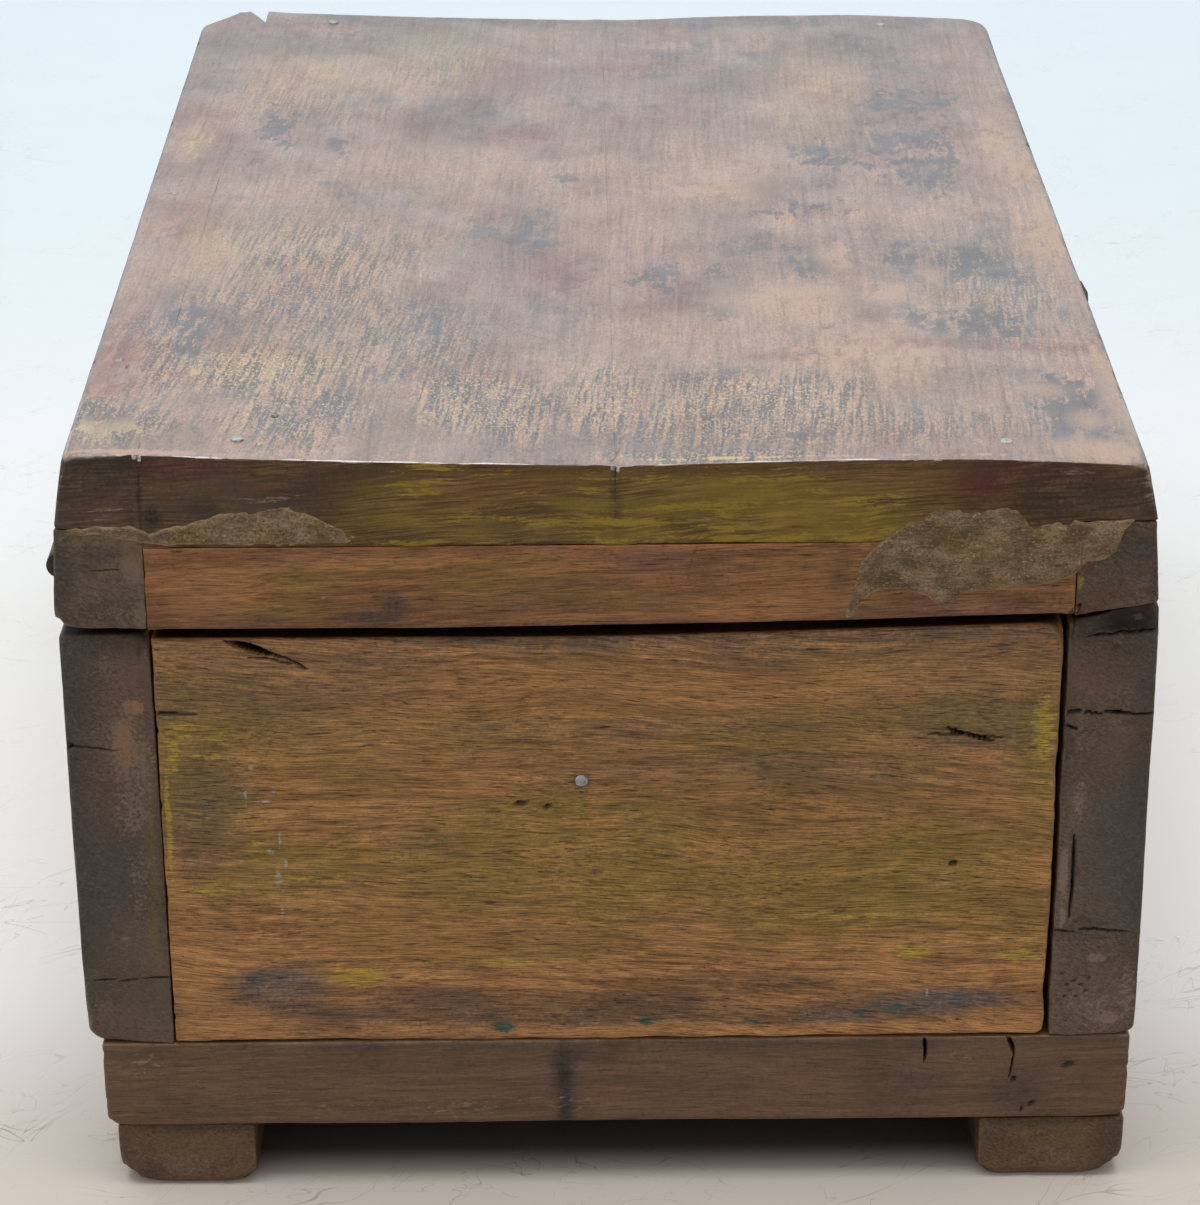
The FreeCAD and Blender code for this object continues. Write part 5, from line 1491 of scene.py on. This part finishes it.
# Nodes of small nails: the node, its body, the axis along which the nails run and the sides
# where their heads are
NAILED = (
    ("divider_nails", "box", 1, (-1, 1)), ("corner_nails", "box", 0, (-1, 1)),
    ("lid_top_nails", "lid", 2, (1,)), ("lid_rail_nails", "lid", 0, (-1, 1)),
    ("bottom_nails", "box", 2, (-1,)), ("runner_nails", "box", 2, (-1,)),
)

IRON_WORDS = (("nails", "nail"), ("latch", "hook"), ("hinge_pin", "iron"), ("_leaf", "iron"))


# The softbox: its sides and its place in metres, and its lean in degrees
SOFTBOX_SIZE = (1.3, 0.9)
SOFTBOX_PLACE = (-0.10, -0.15, 1.30)
SOFTBOX_LEAN = (7, -4, 0)


class CANDLEBOX_OT_stage(bpy.types.Operator):
    """Makes the floor with its backdrop, the light and the camera."""
    bl_idname = "candlebox.stage"
    bl_label = "Stage"

    def execute(self, context):
        self.floor()
        self.light()
        self.camera()
        return {"FINISHED"}

    def floor(self):
        """Flat floor that curves up far behind the box: a profile carried along X.

        The profile runs level to the bend, round a quarter circle and then straight up.
        """
        reach, bend, start, height, columns = 4500.0, 700.0, 1900.0, 3000.0, 9
        turn = np.linspace(0, math.pi / 2, 24)
        profile_y = np.concatenate([[-reach], start + bend * np.sin(turn), [start + bend]])
        profile_z = np.concatenate([[0], bend - bend * np.cos(turn), [height]])
        across = np.linspace(-reach, reach, columns)
        points = np.stack([
            np.repeat(across, len(profile_y)), np.tile(profile_y, columns),
            np.tile(profile_z, columns)], axis=1)
        number = np.arange(len(points)).reshape(columns, -1)
        quads = np.stack([number[:-1, :-1], number[1:, :-1], number[1:, 1:], number[:-1, 1:]], axis=-1)
        piece = mesh_object("studio_floor", points, quads.reshape(-1, 4), self.floor_finish())

    def floor_finish(self):
        """Pale floor that cools towards the back, with faint brown scuffs, a band of painted shade in
        front of the box and a painted shadow under it.
        """
        shades = colours()
        finish = Finish("pale_floor", 0.65, 0.3)
        split = finish.tree.nodes.new("ShaderNodeSeparateXYZ")
        finish.join(finish.place, split.inputs[0])
        along = split.outputs["Y"]
        # Painted shade: a darker, warmer band across the floor in front of the box.
        near = finish.times(finish.ease(along, -0.06, -0.17), finish.ease(along, -0.60, -0.35))
        tint = finish.blend(near, shades.floor_middle, shades.floor_near_shade)
        tint = finish.over(tint, shades.floor_far, along, 0.0, 0.45)
        far = finish.ease(along, 0.2, 1.0)
        dirt = finish.noise((70, 45, 70), 4, 0.6, shift=(4, 2, 0))
        near_side = finish.ease(along, 0.10, -0.20, 0.25, 1.0)
        for number, turn in enumerate((0.5, -0.25, 1.2)):
            line = finish.noise((60, 16, 30), 3, 0.55, 0.8, turn=(0, 0, turn), shift=(number, 5, 2))
            off = finish.math("ABSOLUTE", finish.plus(line, -0.5), 0)
            scratch = finish.times(finish.ease(off, 0.0032, 0.0008), finish.ease(dirt, 0.44, 0.60))
            scratch = finish.times(scratch, finish.times(near_side, 0.55))
            tint = finish.blend(scratch, tint, (0.26, 0.19, 0.13))
        spots = finish.noise((2.2, 2.2, 2.2), 4, 0.65)
        specks = finish.times(finish.ease(spots, 0.66, 0.72), finish.ease(dirt, 0.42, 0.62))
        specks = finish.times(specks, finish.times(near_side, 0.5))
        tint = finish.blend(specks, tint, (0.30, 0.23, 0.17))
        smears = finish.times(finish.ease(dirt, 0.45, 0.75), finish.times(near_side, 0.10))
        tint = finish.blend(smears, tint, (0.5, 0.46, 0.41))
        # Painted shadow: a dark patch on the floor under the box, between its runners.
        off_x, off_y = (finish.math("ABSOLUTE", split.outputs[name], 0) for name in ("X", "Y"))
        painted_shadow_under_box = finish.times(
            finish.ease(off_x, 0.088, 0.070), finish.ease(off_y, 0.150, 0.138))
        tint = finish.blend(finish.times(painted_shadow_under_box, 0.92), tint, (0.05, 0.045, 0.04))
        rays = finish.tree.nodes.new("ShaderNodeLightPath").outputs
        seen = finish.math("MAXIMUM", rays["Is Camera Ray"], rays["Is Glossy Ray"])
        tint = finish.blend(seen, (0.56, 0.53, 0.49), tint)
        finish.set("Emission Color", (0.66, 0.80, 1.0))
        finish.set("Emission Strength", finish.times(finish.times(seen, far), 0.20))
        return finish.done(tint)

    def light(self):
        """White light from all round and a large lamp overhead."""
        studio = bpy.context.scene.candle_box_studio
        world = bpy.data.worlds.new("studio_room")
        world.use_nodes = True
        background = world.node_tree.nodes["Background"]
        background.inputs["Color"].default_value = (1, 1, 1, 1)
        background.inputs["Strength"].default_value = studio.sky
        bpy.context.scene.world = world
        lamp = bpy.data.lights.new("softbox", "AREA")
        lamp.shape = "RECTANGLE"
        lamp.size, lamp.size_y = SOFTBOX_SIZE
        lamp.energy = studio.softbox
        holder = bpy.data.objects.new("softbox", lamp)
        holder.location = SOFTBOX_PLACE
        holder.rotation_euler = [math.radians(angle) for angle in SOFTBOX_LEAN]
        bpy.context.scene.collection.objects.link(holder)

    def camera(self):
        """Camera from its place, its direction down and sideways, and its lean."""
        studio = bpy.context.scene.candle_box_studio
        sin, cos = math.sin, math.cos
        pitch, yaw, roll = studio.pitch, studio.yaw, studio.roll
        ahead = np.array([sin(yaw) * cos(pitch), cos(yaw) * cos(pitch), -sin(pitch)])
        level = np.array([cos(yaw), -sin(yaw), 0])
        above = np.cross(level, ahead)
        right = cos(roll) * level + sin(roll) * above
        up = cos(roll) * above - sin(roll) * level
        matrix = np.eye(4)
        matrix[:3, 0], matrix[:3, 1], matrix[:3, 2] = right, up, -ahead
        matrix[:3, 3] = studio.place
        data = bpy.data.cameras.new("camera")
        data.sensor_fit = "HORIZONTAL"
        data.sensor_width = 36
        data.lens = studio.lens
        data.clip_start = 0.05
        camera = bpy.data.objects.new("camera", data)
        camera.matrix_world = Matrix(matrix.tolist())
        bpy.context.scene.collection.objects.link(camera)
        bpy.context.scene.camera = camera
        bpy.context.scene.view_settings.view_transform = "Standard"


OPERATORS = (
    CANDLEBOX_OT_side_boards, CANDLEBOX_OT_end_boards, CANDLEBOX_OT_base, CANDLEBOX_OT_divider,
    CANDLEBOX_OT_lid_rim, CANDLEBOX_OT_lid_top, CANDLEBOX_OT_filler, CANDLEBOX_OT_ironwork,
    CANDLEBOX_OT_stage,
)


class CANDLEBOX_PT_pieces(bpy.types.Panel):
    """Lists the operators and the settings."""
    bl_idname = "CANDLEBOX_PT_pieces"
    bl_label = "Candle Box"
    bl_space_type = "VIEW_3D"
    bl_region_type = "UI"
    bl_category = "Candle Box"

    def draw(self, context):
        for operator in OPERATORS:
            self.layout.operator(operator.bl_idname)
        scene = context.scene
        for group in (scene.candle_box_wear, scene.candle_box_colours, scene.candle_box_studio):
            box = self.layout.box()
            for name in group.bl_rna.properties.keys():
                if name not in ("rna_type", "name"):
                    box.prop(group, name)


GROUPS = {
    "candle_box_wear": CandleBoxWear,
    "candle_box_colours": CandleBoxColours,
    "candle_box_studio": CandleBoxStudio,
}


def register():
    """Adds the settings, the operators and the panel."""
    for group in GROUPS.values():
        bpy.utils.register_class(group)
    for name, group in GROUPS.items():
        setattr(bpy.types.Scene, name, bpy.props.PointerProperty(type=group))
    for operator in OPERATORS:
        bpy.utils.register_class(operator)
    bpy.utils.register_class(CANDLEBOX_PT_pieces)


def unregister():
    """Takes away what register added."""
    bpy.utils.unregister_class(CANDLEBOX_PT_pieces)
    for operator in reversed(OPERATORS):
        bpy.utils.unregister_class(operator)
    for name in GROUPS:
        delattr(bpy.types.Scene, name)
    for group in reversed(GROUPS.values()):
        bpy.utils.unregister_class(group)


def main():
    """Runs every operator in order."""
    register()
    bpy.ops.candlebox.side_boards()
    bpy.ops.candlebox.end_boards()
    bpy.ops.candlebox.base()
    bpy.ops.candlebox.divider()
    bpy.ops.candlebox.lid_rim()
    bpy.ops.candlebox.lid_top()
    bpy.ops.candlebox.filler()
    bpy.ops.candlebox.ironwork()
    bpy.ops.candlebox.stage()


if __name__ == "__main__":
    main()
